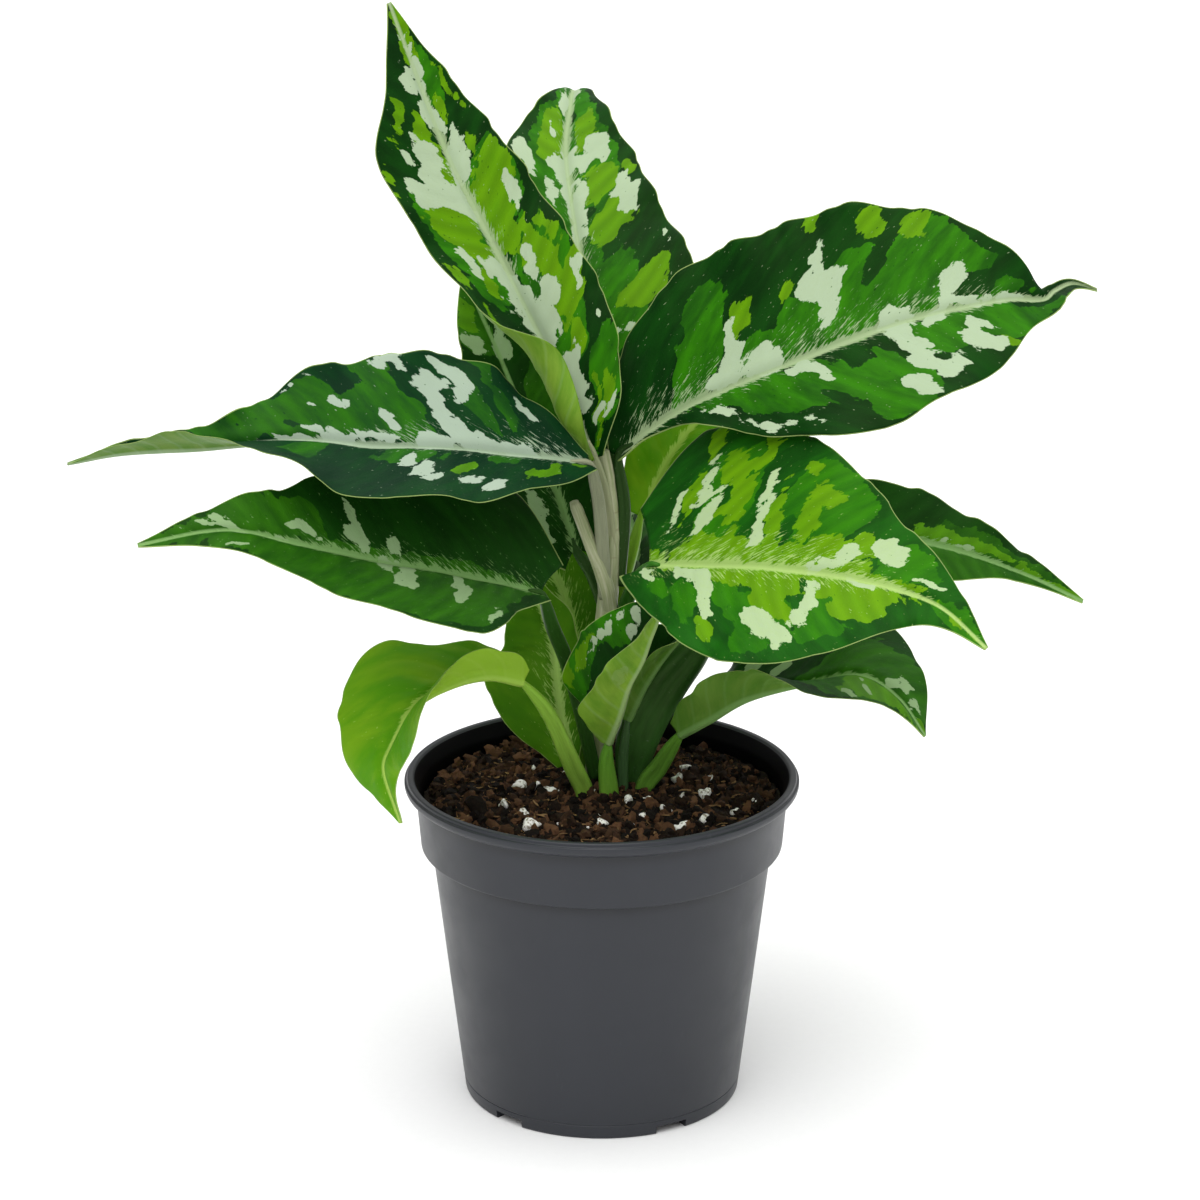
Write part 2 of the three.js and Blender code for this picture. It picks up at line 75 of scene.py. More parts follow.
BLADE_THICKNESS = 0.5
RIB_DEPTH = 1.3
RIB_WIDTH = 1.3
TIP_HALF_WIDTH = 0.8
STATIONS = [0, 0.12, 0.3, 0.5, 0.7, 0.88, 1]
LOBE_REACH = 0.16
LOBE_POWER = 1.6
RUFFLE_POWER = 2.5
SCALLOP_LENGTH = 19
SCALLOP_HEIGHT = 0.6
VEIN_SPACING = 6.5
VEIN_SLANT = 0.55
VEIN_BOW = 0.012

ROWS = 150
HALF_COLUMNS = 34
STALK_SIDES = 24
STALK_STEPS = 44

# ---------- leaves ----------
# Each value is text: rows of numbers, with commas between the rows.
# stalk: points from its foot to the blade. girth: its radius, spread evenly along those points.
# midrib: points from the blade's base to its tip. face: the way the upper side looks, base to tip.
# half: half-widths at STATIONS, left and right seen from the base with the upper side up.
# fold: how far each half is lifted towards the face, in degrees, spread evenly from base to tip.
# roll: how much further it turns on its way out to the margin. lobe: how far each half reaches
# back past the base. ruffle: height, waves along the blade, and where the first one starts.
#
# colours: a key of COLOURS. tints: the stalk's colours at its foot and at the blade. feather: where
# the pale streaks beside the midrib start and end, and how many millimetres they reach to the left
# and right. silver, lime and mid are patches, islands cut the silver, and dark cuts the other two.
# A patch says along, across, half length and half breadth: along and the half length in thousandths
# of the blade, from base to tip, and across and the half breadth in hundredths of its half-width,
# from -100 at the left margin to 100 at the right one. scatter: seed and number of chance patches.

LEAVES = {}
LEAVES["leaf_crown"] = dict(
    colours="deep", tints="8f9072 9aa07c", feather="0.1 0.92 4 4", stalk="3 5 166, 1.5 3 188",
    girth="2.2 2.1 1.8", midrib="-2 -0.5 205, -13 2 231, -29 8 262, -46 14 295, -55 18 318, -63 20 339",
    face="0.1 -1 0.2, 0.45 -0.9 0.2, 0.5 -0.85 0.2", half="3 19 24.9 21.4 23.6 9.6, 3 16 23 21 16 6.3",
    fold="5 5 10 10 15, 10 15 12 10 10", roll="150 175 50 0 0 0, 40 0 0 0 0", ruffle="1.2 5 0.2, 1 5 0.1",
    silver="""675 20 45 20, 700 -28 30 20, 655 -22 50 24, 630 -56 30 18, 600 -30 35 28, 715 -64 12 10,
        565 -10 30 10, 830 -27 24 15, 800 0 70 14, 765 -8 30 12, 770 -20 20 8, 870 17 40 15, 560 60 33 11,
        468 -50 26 12, 440 -14 20 12, 410 -8 40 9, 360 -4 50 12, 320 3 40 12, 430 41 22 7, 395 33 18 5,
        345 36 22 13, 310 20 30 12, 280 12 30 12, 352 86 22 12, 190 26 35 14, 150 30 25 10, 105 25 15 12,
        80 50 15 12, 85 85 12 10, 262 88 7 2.5""",
    islands="672 -9 22 6, 640 -13 16 8, 345 87 8 3",
    lime="""660 -10 50 15, 645 75 35 13, 600 50 50 38, 540 25 80 25, 440 48 50 17, 400 55 40 15,
        335 65 35 33, 300 30 30 5, 228 42 30 19, 120 53 22 8, 100 75 40 15, 470 82 20 4, 545 -42 50 32,
        490 -30 30 30, 420 -33 30 12, 455 -97 30 3, 455 -84 24 3.5, 345 -60 20 5, 772 -72 26 9,
        770 30 18 13, 735 -30 22 10, 690 48 20 5, 810 88 20 5, 680 -93 20 5, 880 -15 20 8, 940 45 60 60,
        980 0 30 130, 805 -75 8 3""",
    mid="840 50 50 35, 130 75 80 30, 500 -40 120 40, 580 40 80 45, 380 50 120 35, 240 40 50 30",
    dark="400 24 30 5, 420 15 12 3, 515 82 40 20",
)
LEAVES["leaf_back_upper"] = dict(
    colours="deep", feather="0.1 0.96 4 5", stalk="1.5 8 165, 2 10.8 185", girth="2.2 2.1 1.8",
    midrib="3 11 203, 1 17 218, -5 38 248, -11 70 280, -10 87 294, -8.5 99 298, -6 112 289",
    face="0 -1 0.5, 0 -0.8 0.7, 0 0.2 1", half="3 10 18 22.5 18 5, 3 18.5 36 27.8 19.5 6",
    ruffle="1.5 5 0.1, 1 5 0.4",
    silver="""825 -33 24 17, 880 20 30 20, 685 -72 22 20, 655 -60 20 8, 737 -33 8 3, 580 -32 30 10,
        660 10 30 14, 665 35 20 16, 690 50 20 20, 650 -12 35 13, 600 -8 30 10, 560 12 45 10, 490 10 30 8,
        575 62 25 10, 540 74 30 12, 475 18 10 4, 445 88 12 3, 235 23 12 10""",
    islands="685 62 6 5, 692 27 14 8",
    lime="740 40 45 20, 505 50 40 28, 335 55 30 30, 600 40 40 22, 620 80 20 8, 720 -30 60 25",
    mid="660 0 220 70, 500 -20 120 50, 300 20 100 30", dark="535 25 20 10, 785 13 30 8",
)
LEAVES["leaf_right_upper"] = dict(
    colours="deep", tints="1c3c12 16340f", feather="0.04 0.9 10 4", stalk="5 6 163, 6.8 5.5 187",
    girth="2.2 2.1 1.9",
    midrib="""5 5 204, 14 1 213, 29 -8 225, 58 -18 240, 87 -21 252, 116 -18 258, 129 -15 257.6,
        133 -12 259.6, 139 -5 260, 147 3 256""",
    face="0 -0.75 0.66, 0 -0.75 0.66, 0 -0.8 0.6", half="3 26.8 41 40.6 30 2.2, 1.4 3 19 32.6 25.4 4.2",
    fold="18 15 12 10 9 12 60, 18 15 12 10 9 12 45", lobe="2 1", ruffle="1.2 5 0.4, 1.4 5 0.1",
    silver="""487 -66 12 10, 465 -50 24 13, 497 -45 24 13, 478 -28 16 13, 290 -33 14 12, 278 -18 20 12,
        262 -6 30 7, 298 -17 10 7, 700 -34 18 13, 685 -12 14 13, 720 -6 35 5, 780 -6 20 7, 645 3 25 7,
        580 -4 25 6, 585 10 20 10, 605 30 20 12, 620 52 25 12, 595 75 20 12, 655 68 30 10, 720 28 16 10,
        722 55 22 20, 700 36 20 4, 400 10 25 8, 425 20 20 10, 440 29 12 6, 255 62 18 14, 335 82 25 6,
        405 79 13 2.5, 340 -8 35 8""",
    islands="635 55 10 5, 628 25 12 5",
    lime="""500 -95 18 7, 760 70 15 20, 320 -42 18 14, 420 -50 10 5, 590 -87 16 10, 660 -85 30 12,
        980 0 20 120""",
    mid="""230 -40 50 40, 360 -14 60 16, 420 -22 60 20, 520 -30 80 30, 550 -55 30 12, 650 -45 70 45,
        730 -55 35 20, 780 -25 18 14, 360 35 120 30, 660 30 60 25, 780 40 50 50, 540 50 60 35,
        550 72 50 20""",
    dark="590 -52 22 22, 505 20 25 10, 460 55 18 13",
)
LEAVES["leaf_left_upper"] = dict(
    colours="blue", tints="83886e 96997f", feather="0.03 0.62 4 9", stalk="1 3 160, -0.5 -3 187, -2 -7 199",
    girth="2.1 2.1 2 1.8",
    midrib="""-4 -10 206, -18 -17 210, -42 -26 215, -65 -33 218, -88 -37 221, -117 -40 219.2,
        -138 -41.3 218.4, -155 -42 215""",
    face="0 -0.59 0.81, 0 -0.59 0.81, 0 -0.5 0.85", half="3 17 29 28 15 8, 3 19 30.4 25 8.8 3.7",
    fold="21 21 21 21 50 75 60, 21 21 20 20 30 20", lobe="2 0", ruffle="1 5 0.4, 2 6 0",
    silver="""275 80 23 16, 325 70 25 10, 308 50 20 16, 262 60 18 4, 275 25 30 16, 250 10 40 12,
        315 10 25 12, 412 32 12 6, 395 25 12 6, 420 8 30 5, 450 12 14 5, 540 17 18 7, 515 10 22 8,
        490 5 20 5, 590 2 40 3, 497 57 11 9, 580 84 12 4, 545 52 6 3, 410 90 30 7, 378 -27 14 12,
        360 -42 18 12, 340 -53 16 10, 268 -62 18 5, 235 -73 20 10, 170 5 60 10, 125 76 14 12""",
    lime="275 -42 18 12, 115 -58 35 13, 35 -50 10 15",
    mid="""420 35 85 30, 440 78 35 20, 530 45 55 35, 650 50 80 50, 215 50 20 20, 165 62 18 18, 248 72 10 5,
        225 93 15 10, 370 -17 60 12, 185 -20 30 8, 565 -30 30 25, 850 0 120 70""",
    dark="505 82 30 16, 585 30 30 10, 680 60 10 6",
)
LEAVES["leaf_left_lower"] = dict(
    colours="plain", tints="2f5520 244a14", feather="0 0.8 3 6",
    stalk="-2 6 100, -6 1 121, -10.5 -2 140, -15 -13 156", girth="2.1 2.1 2.2 2.3 2.1",
    midrib="-18 -22 169, -42 -38 180, -64 -50 188, -87 -59 196, -108 -66 202.6, -132 -71 199.5",
    face="0 -0.59 0.81", half="3 13.5 34 25.5 14.2 5.5, 11 33 36.5 29 15.5 5.3",
    fold="21 21 18 10, 20 20 15 10", lobe="2 9", ruffle="0.5 4 0.4, 0.6 4 0.4",
    silver="""830 45 25 12, 805 20 14 20, 790 -75 20 6, 700 -5 15 5, 635 27 20 8, 615 16 15 10,
        520 45 14 12, 505 28 25 12, 488 14 14 10, 410 18 16 12, 420 -2 22 10, 385 -20 28 18, 265 -20 20 10,
        262 -40 20 18, 225 -78 20 6""",
    lime="970 0 40 120", mid="700 45 100 40, 550 -50 320 45, 250 -40 200 45, 350 2 300 10, 820 0 100 60",
    dark="360 62 200 34",
)
LEAVES["leaf_right_front"] = dict(
    colours="fresh", tints="24491a 2f6a18", feather="0 0.84 11 7", stalk="1 9 128, 5 6 148, 9 0 163",
    girth="2.2 2.2 2.2 2.1",
    midrib="14 -22 178, 40 -48 186, 57 -62 189, 73 -74 190, 93 -84 187, 108 -93 176",
    face="0 -0.74 0.67, 0 -0.74 0.67, 0.2 -0.6 0.7", half="18 43 45.4 36 20.6 7, 5 17 31.5 37 25 6.4",
    fold="14 12 8, 14 10 8", lobe="10 9", ruffle="0.6 4 0.4, 1.4 4 0.3",
    silver="""72 -52 15 13, 152 -60 18 16, 168 -38 20 14, 150 -26 12 8, 327 -50 12 10, 338 -38 16 13,
        335 -24 18 9, 585 -26 22 12, 560 -12 30 8, 525 -4 30 5, 695 -55 32 16, 665 -42 18 8, 803 -38 20 9,
        145 20 30 15, 200 20 40 13, 240 33 35 14, 272 48 26 12, 300 60 12 7, 40 50 20 10, 440 54 45 10,
        480 62 30 9, 530 68 40 10, 550 77 20 5, 560 48 25 8, 550 20 18 10, 568 33 18 10, 650 3 35 5""",
    lime="""115 -55 20 15, 225 -55 28 20, 215 -72 20 10, 255 -45 20 16, 300 -80 18 20, 440 -80 20 7,
        373 -45 14 14, 385 -28 16 10, 495 -66 35 9, 525 -65 14 7, 472 -50 14 14, 468 -34 18 10,
        535 -27 40 14, 635 -42 30 16, 400 -10 350 12, 400 12 350 12, 440 32 55 16, 515 47 35 10,
        680 33 60 22, 720 12 50 12, 315 77 22 10, 165 -90 20 10, 980 0 30 120""",
    mid="""220 -50 70 35, 120 65 40 14, 220 60 40 20, 310 32 30 16, 470 80 50 10, 620 60 50 20,
        600 35 30 15, 750 -45 60 35, 500 -60 100 40, 450 50 100 20, 880 0 60 80""",
    dark="518 15 18 9, 312 -22 14 5, 200 -48 14 13, 425 -30 20 10, 775 -25 25 8",
)
LEAVES["leaf_right_behind"] = dict(
    colours="plain", tints="3f6a30 2f551f", feather="0.1 0.9 2 1.5",
    stalk="8 10 80, 9 10 98, 11.5 11 112, 18.5 12 127, 30 11 142", girth="3 4.2 6.6 7.2 6 2.6",
    midrib="41 10 157, 55 17 171, 80 25 174, 108 31 167, 131 34 158, 151 35 148", face="0 -0.7 0.75",
    half="3 10 17 16.8 10.9 5, 6 20 23 18.5 9.2 2.3", ruffle="0.8 4 0.4, 0.8 4 0.2", silver="660 -8 30 5",
    lime="620 -20 80 20, 740 -25 60 17, 850 -15 50 14, 950 10 60 120", mid="700 50 350 60, 800 -40 200 30",
)
LEAVES["leaf_low_right"] = dict(
    colours="plain", tints="6c9c3c 5a8a2c", feather="0.5 0.9 1.5 1.5", stalk="13 3 80, 13 3 97, 18 1 106",
    girth="2.5 2.7 2.9 2.4",
    midrib="24 -5 118, 33 -10 125, 45 -15 134, 63 -21 140.8, 77 -26 145, 89 -30 139, 96.7 -32 127.5",
    face="0 -0.1 1, 0 -0.3 1, 0.8 -0.4 0.5", half="8 19 23 23 25.5 14, 5 11 13 21.5 18.7 6.5",
    fold="20 10 5 5, 80 76 38 8 5", ruffle="0.6 3 0.4, 0.8 4 0.2",
    silver="""795 -10 11 22, 745 50 10 20, 720 85 10 12, 850 -33 20 16, 905 -25 20 14, 300 -60 30 20,
        420 -40 30 14""",
    lime="800 60 120 40, 980 0 40 120", mid="750 20 250 85, 850 -50 100 50",
)
LEAVES["leaf_low_left"] = dict(
    colours="lime", tints="92bc4c 82ae3a", feather="0 0.7 3 3",
    stalk="-5 -3 80, -5 -3 97, -9 -7 109, -16 -14 128", girth="2.5 2.8 2.9 2.6 2.1",
    midrib="-24 -19 140, -34 -25 144, -45 -30 143, -56 -35 138, -63 -39 127, -65 -41 119, -60 -43 104",
    face="0 -0.2 1, -0.5 -0.6 0.8, -1 -0.8 0.3", half="5 11 13.5 20.5 11.8 3.2, 8 12.5 17.5 28 20.5 6.5",
    fold="78 72 40 10 5, 30 10 5 5", ruffle="0.6 3 0.4, 0.5 3 0.2",
)
LEAVES["leaf_shoot_left"] = dict(
    colours="shoot", tints="6a9a3a 5f8f2c", feather="0.05 0.8 8 4", stalk="-8 5 80, -8 5 96",
    girth="2 2.1 2", midrib="-9 7 104, -12 10 117, -14 12 130, -15 14 142, -20 17 154, -25 20 165",
    face="-0.1 -1 0.3, -0.1 -1 0.4, -0.1 -1 0.8", half="5 10.7 19.7 22 14 7, 2 5 8 8 8 4",
    fold="10 8 5 5, 10 10 5", ruffle="0.8 3 0.4, 0.4 3 0.2", dark="600 -60 300 40",
)
LEAVES["leaf_shoot_back"] = dict(
    colours="shoot", tints="6a9a3a 5f8f2c", feather="0.05 0.8 7 7", stalk="-7 15 80, -7 15 97, -5 18 114",
    girth="1.9 2 1.9 1.8", midrib="-7 23 134, -11 27 150, -18 33 162, -38 42 176, -64 50 184, -92 56 188",
    face="0.1 -1 0.6, 0 -0.8 0.8", half="3 11 19 22 17 8, 3 11 17 17 12 6", ruffle="0.6 3 0.4, 0.6 3 0.2",
)
LEAVES["leaf_shoot_front"] = dict(
    colours="deep", tints="86b040 5f9a30", feather="0 0.8 1.5 1.5", stalk="2 -4 80, 2 -4 97, 1.2 -6 109",
    girth="3.4 3.5 3.3 2.5", midrib="2 -9 117, 5 -12 126, 8 -14 137, 12 -16 146, 15 -17 155, 19 -17 165",
    face="-1 -0.1 0.2, -1 -0.3 0.5", half="2.5 12 20 21 18 11, 2.5 9 15 15 12 6", fold="60 60 45, 75 60 40",
    ruffle="0.4 3 0.4, 0.4 3 0.2",
    silver="620 -75 100 6, 750 -45 50 12, 860 -55 40 20, 800 -85 30 10, 500 40 50 20",
    lime="500 -85 60 6, 350 -90 60 5, 960 0 50 120", mid="500 -85 400 20, 700 -60 100 20",
)
LEAVES["leaf_shoot_right"] = dict(
    colours="plain", tints="4a6a42 3f5f38", feather="0 0.8 1 1", stalk="7 2.5 80, 6.5 2 96, 6.5 1.5 109",
    girth="1.7 1.8 1.8 1.6", midrib="8 1 121, 13 0 132, 20 -0.5 143, 28 0.5 152",
    face="-0.6 0 0.6, -0.5 -0.4 0.8", half="3 7 9 11 11 5, 3 7 10 10 9 5", fold="50 35 15, 50 50 30",
    ruffle="0.3 3 0.4, 0.3 3 0.2",
)
LEAVES["leaf_back_left"] = dict(
    colours="plain", feather="0 0.6 5 3", stalk="1 9 154, -3 12 164", girth="2 2 1.8",
    midrib="-8 16 171, -13 20 186, -22 28 206, -31 36 226, -39 43 243, -42 47 253",
    face="0.3 -1 0.5, 0 -0.8 0.7", half="6 20 21 18 13 6, 4 12 16 17 17 12", lobe="5 3",
    ruffle="1 4 0.3, 0.8 4 0.1", silver="770 -50 28 34, 700 14 35 14, 150 -40 100 12", lime="850 -55 30 25",
    mid="850 -40 120 50, 500 40 120 30, 400 -50 100 30",
)
LEAVES["leaf_back_right"] = dict(
    colours="lime", tints="5f8a24 6f9a24", feather="0.1 0.8 2 2", stalk="4 12 153, 9 16 169",
    girth="2 2 1.8", midrib="12 22 180, 20 32 194, 29 42 204, 46 56 216, 62 66 226",
    face="-0.3 -1 0.5, 0 -0.8 0.8", half="5 10 14 16 13 7, 4 11 16 17 13 7", ruffle="1 4 0.3, 0.8 4 0.1",
)
LEAVES["leaf_back_low"] = dict(
    colours="plain", feather="0.05 0.85 3 3", scatter="11 14", stalk="1 12.5 141, 6.5 19.5 151",
    girth="2 2 1.9", midrib="11 31 160, 10 48 167, 5 70 168, -2 91 162, -8 111 150",
    face="0 0.3 1, 0 0.2 1", half="4 14 22 24 18 9, 4 14 22 24 18 9", fold="18 12 5, 18 12 5",
    ruffle="1 4 0.3, 0.8 4 0.1",
)

LEAF_DEFAULTS = dict(
    tints="2c4a1c 22451a", fold="15 12 7, 15 12 7", roll="0, 0", lobe="0 0",
    silver="", islands="", lime="", mid="", dark="", scatter="0 0",
)
# Kinds of patches, and what cuts each.
LAYERS = {"silver": "islands", "lime": "dark", "mid": "dark"}
PATCH_LEAN = 0.12
SQUARENESS = 2.6
SMALLEST_PATCH = 0.8
WARP = 4
FAR_OUTSIDE = -50
# How far apart the patterns of two leaves are taken.
SEED_STEP = 40

STEM_ROUTE = [[0, 11, 80], [-1, 11, 100], [-1, 9, 120], [1, 6, 145], [2.5, 5, 168], [3, 5, 186],
              [1.8, 4.5, 197], [0.3, 4.2, 206]]
STEM_GIRTH = [4.2, 4.3, 4.2, 3.8, 3.3, 2.9, 2.3, 1.9]
STUB_ROUTE = [[2.2, 5.5, 155], [0.5, 1.8, 166], [-4, -1, 179], [-8.5, -3, 192]]
STUB_GIRTH = [3, 2.6, 2.2, 2]

# Shades of each kind of leaf, as hex codes.
SHADES = ["dark", "shade", "mid", "lime", "silver", "feather", "under"]
COLOURS = {
    "deep": "042807 0a3c09 2d7405 689808 a6b89c a0b488 7c9e34",
    "blue": "072918 0a3818 28660e 5a8e0e a2b2a2 9fb296 627f38",
    "plain": "0a2f07 123f0a 2b620b 558c0f 8aa27a 7aa060 5a7c2e",
    "fresh": "0d3f0a 17580c 2f7606 6f9f0a a9bd9a a8c474 80a63e",
    "lime": "4c8a0c 6c9a16 80ac20 86b326 9cbc5c a2c258 88b034",
    "shoot": "3f740e 538614 6e9a22 86b326 9cbc5c acce70 88b034",
}
SPECULAR_TINT = (0.75, 1, 0.45, 1)
SEAM = "a3b96e"
BLACK = (0, 0, 0, 1)
WHITE = (1, 1, 1, 1)

CRUMB_COUNT = 3900
BARK_COUNT = 50
FIBRE_COUNT = 560
FIBRE_EDGE = 53.4
PERLITE_COUNT = 46
# Perlite grains that show best: x, y and size.
PERLITE = [(-26, 3, 3.4), (-21, 20, 2.4), (-33, 21, 1.9), (26, 21, 2.4), (24, 10, 2.6), (25, -3, 1.6),
           (32, -6, 3), (14, -10, 2.2), (-24, -16, 2), (-30, -12, 2), (41, -14, 1.8), (-21, -29, 3),
           (31, -24, 2.8), (25, -29, 2.6), (-1, -18, 1.3), (-42, 40, 2)]

# ---------- stage, in metres ----------

CAMERA_PLACE = (-0.00055, -1.1404, 0.5336)
CAMERA_AIM = (-0.00055, 0, 0.160)
CAMERA_LENS = 118.2
SENSOR_WIDTH = 36
FLOOR_REACH = 9
WORLD_STRENGTH = 0.38
# Lamps: place, how many degrees wide, and strength.
LAMPS = {
    "key": ((-0.25, -0.6, 1.2), 70, 2.3),
    "top": ((0.3, 0.4, 1.2), 90, 1.5),
    "fill": ((0.9, -0.8, 0.5), 60, 0.3),
}


# ---------- small maths ----------

def rows(text):
    """Numbers of a text of the leaf table, row by row."""
    return [[float(number) for number in row.split()] for row in text.split(",") if row]


def hermite(t, start, end, leaving, arriving):
    """Cubic from start to end, with the slopes that it leaves and arrives with."""
    return ((2 * t**3 - 3 * t**2 + 1) * start + (t**3 - 2 * t**2 + t) * leaving
            + (3 * t**2 - 2 * t**3) * end + (t**3 - t**2) * arriving)


def monotone(xs, ys, x):
    """Smooth curve through the points (xs, ys) that never overshoots them."""
    xs, ys = np.asarray(xs, float), np.asarray(ys, float)
    slopes = np.diff(ys) / np.diff(xs)
    product = slopes[:-1] * slopes[1:]
    total = np.where(product > 0, slopes[:-1] + slopes[1:], 1)
    inner = np.where(product > 0, 2 * product / total, 0)
    tangents = np.concatenate([slopes[:1], inner, slopes[-1:]])
    x = np.clip(x, xs[0], xs[-1])
    i = np.clip(np.searchsorted(xs, x, side="right") - 1, 0, len(xs) - 2)
    step = xs[i + 1] - xs[i]
    return hermite((x - xs[i]) / step, ys[i], ys[i + 1], step * tangents[i], step * tangents[i + 1])


def spread(values, u):
    """Value at u of numbers that are spread evenly from 0 to 1."""
    if len(values) == 1:
        return np.full_like(np.asarray(u, float), values[0])
    return monotone(np.linspace(0, 1, len(values)), values, u)


def unit(vectors):
    return vectors / np.linalg.norm(vectors, axis=-1, keepdims=True)


def spread_vectors(vectors, u):
    """Directions at u, turned evenly from one vector to the next."""
    table = vectors if len(vectors) > 1 else vectors * 2
    places = np.linspace(0, 1, len(table))
    return unit(np.stack([np.interp(u, places, axis) for axis in zip(*table)], axis=-1))


def soft_step(low, high, x):
    t = np.clip((x - low) / (high - low), 0, 1)
    return t * t * (3 - 2 * t)


def bell(x, width):
    """Hump of height 1 where x is 0."""
    return np.exp(-((x / width) ** 2))


def fade(u, rise, fall):
    """1 along most of a leaf, and down to 0 at its base and tip."""
    return np.clip(rise * u, 0, 1) * np.clip(fall * (1 - u), 0, 1)


def value_noise(x, y, seed):
    """Smooth random height from 0 to 1 over a plane, one bump for each unit of length."""
    cells = 64
    table = np.random.default_rng(seed).random((cells, cells))
    left, low = np.floor(x).astype(int), np.floor(y).astype(int)
    across, up = soft_step(0, 1, x - left), soft_step(0, 1, y - low)

    def line(j):
        first, second = (table[(left + i) % cells, (low + j) % cells] for i in range(2))
        return first * (1 - across) + second * across

    return line(0) * (1 - up) + line(1) * up


class Curve:
    """Smooth curve through points, walked by its length from 0 to 1."""

    def __init__(self, points):
        p = np.asarray(points, float)
        self.points = np.vstack([2 * p[0] - p[1], p, 2 * p[-1] - p[-2]])
        self.spans = len(p) - 1
        self.shares = np.linspace(0, 1, 201)
        walked = np.linalg.norm(np.diff(self.by_share(self.shares), axis=0), axis=1)
        self.walked = np.concatenate([[0], np.cumsum(walked)])
        self.length = self.walked[-1]

    def by_share(self, share):
        scaled = np.clip(share, 0, 1) * self.spans
        i = np.minimum(scaled.astype(int), self.spans - 1)
        before, start, end, after = (self.points[i + k] for k in range(4))
        return hermite((scaled - i)[..., None], start, end, (end - before) / 2, (after - start) / 2)

    def at(self, u):
        return self.by_share(np.interp(np.asarray(u, float) * self.length, self.walked, self.shares))

    def tangent(self, u):
        return unit(self.at(np.clip(u + 0.001, 0, 1)) - self.at(np.clip(u - 0.001, 0, 1)))


# ---------- meshes ----------

def numbered(rows, columns):
    """Grid of point numbers."""
    return np.arange(rows * columns).reshape(rows, columns)


def ringed(grid):
    """Grid that ends with its first column again."""
    return np.hstack([grid, grid[:, :1]])


def quads(grid):
    """Faces over a grid of point numbers."""
    return np.stack([grid[:-1, :-1], grid[:-1, 1:], grid[1:, 1:], grid[1:, :-1]], axis=-1).reshape(-1, 4)


def turned(radii, height, segments):
    """Rings of points round the pot's axis. height: one for each ring, or a function of x and y."""
    angle = np.linspace(0, 2 * np.pi, segments, endpoint=False)
    x, y = radii[:, None] * np.cos(angle), radii[:, None] * np.sin(angle)
    z = height(x, y) if callable(height) else np.repeat(height[:, None], segments, 1)
    return np.stack([x, y, z], axis=-1).reshape(-1, 3)


def turned_faces(rows, segments):
    """Faces of a turned body that is closed at both ends."""
    grid = numbered(rows, segments)
    return quads(ringed(grid)).tolist() + [grid[0, ::-1].tolist(), grid[-1].tolist()]


def piece(name, points, faces, looks, face_looks=None, fields=None, smooth=True):
    """A mesh object from points in millimetres, which stands still with the pot."""
    mesh = bpy.data.meshes.new(name)
    mesh.from_pydata((np.asarray(points) * MM).tolist(), [], faces)
    for look in looks:
        mesh.materials.append(look)
    if face_looks is not None:
        mesh.polygons.foreach_set("material_index", np.asarray(face_looks, np.int32))
    for field, values in (fields or {}).items():
        kind, key = ("FLOAT", "value") if values.ndim == 1 else ("FLOAT_VECTOR", "vector")
        data = mesh.attributes.new(field, kind, "POINT").data
        data.foreach_set(key, np.asarray(values, np.float32).ravel())
    mesh.polygons.foreach_set("use_smooth", np.full(len(mesh.polygons), smooth))
    mesh.update()
    made = bpy.data.objects.new(name, mesh)
    bpy.context.scene.collection.objects.link(made)
    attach(made, "root")
    return made


def carried_normals(tangents, first):
    """Normals carried along a route without twisting."""
    normals = [first - tangents[0] * (first @ tangents[0])]
    for tangent in tangents:
        normal = normals[-1]
        normals.append(unit(normal - tangent * (normal @ tangent)))
    return np.array(normals[1:])


def tube(route, girth, sides, steps, facing, shape=None):
    """Points, faces, and the share of length and the angle at each point, of a closed round stalk."""
    curve = Curve(route)
    u = np.linspace(0, 1, steps + 1)
    tangents = curve.tangent(u)
    normals = carried_normals(tangents, np.asarray(facing, float))
    binormals = np.cross(tangents, normals)
    angle = np.linspace(-math.pi, math.pi, sides, endpoint=False)
    share, turn = np.meshgrid(u, angle, indexing="ij")
    radius = spread(girth, share)
    if shape is not None:
        radius = radius * shape(share, turn)
    sideways = np.cos(turn)[..., None] * normals[:, None] + np.sin(turn)[..., None] * binormals[:, None]
    points = curve.at(u)[:, None] + radius[..., None] * sideways
    points = np.vstack([points.reshape(-1, 3), curve.at(0), curve.at(1)])
    grid = ringed(numbered(steps + 1, sides))
    faces = quads(grid).tolist()
    foot, top, count = grid[0].tolist(), grid[-1].tolist(), share.size
    for j in range(sides):
        faces.append([count, foot[j + 1], foot[j]])
        faces.append([count + 1, top[j], top[j + 1]])
    share = np.concatenate([share.ravel(), [0, 1]])
    turn = np.concatenate([turn.ravel(), [0, 0]])
    return points, faces, share, turn, curve.length


# ---------- leaf blades ----------

def scallop(u, length, seed):
    """Small uneven waves along a margin, gone at both ends."""
    waves = u * length / SCALLOP_LENGTH
    broad = np.sin(2 * np.pi * (waves + 0.37 * seed))
    narrow = np.sin(2 * np.pi * (2 * waves + 0.61 * seed + 0.2 * broad))
    return (0.8 * broad + 0.3 * narrow) * soft_step(0, 0.2, u) * (1 - soft_step(0.75, 1, u))


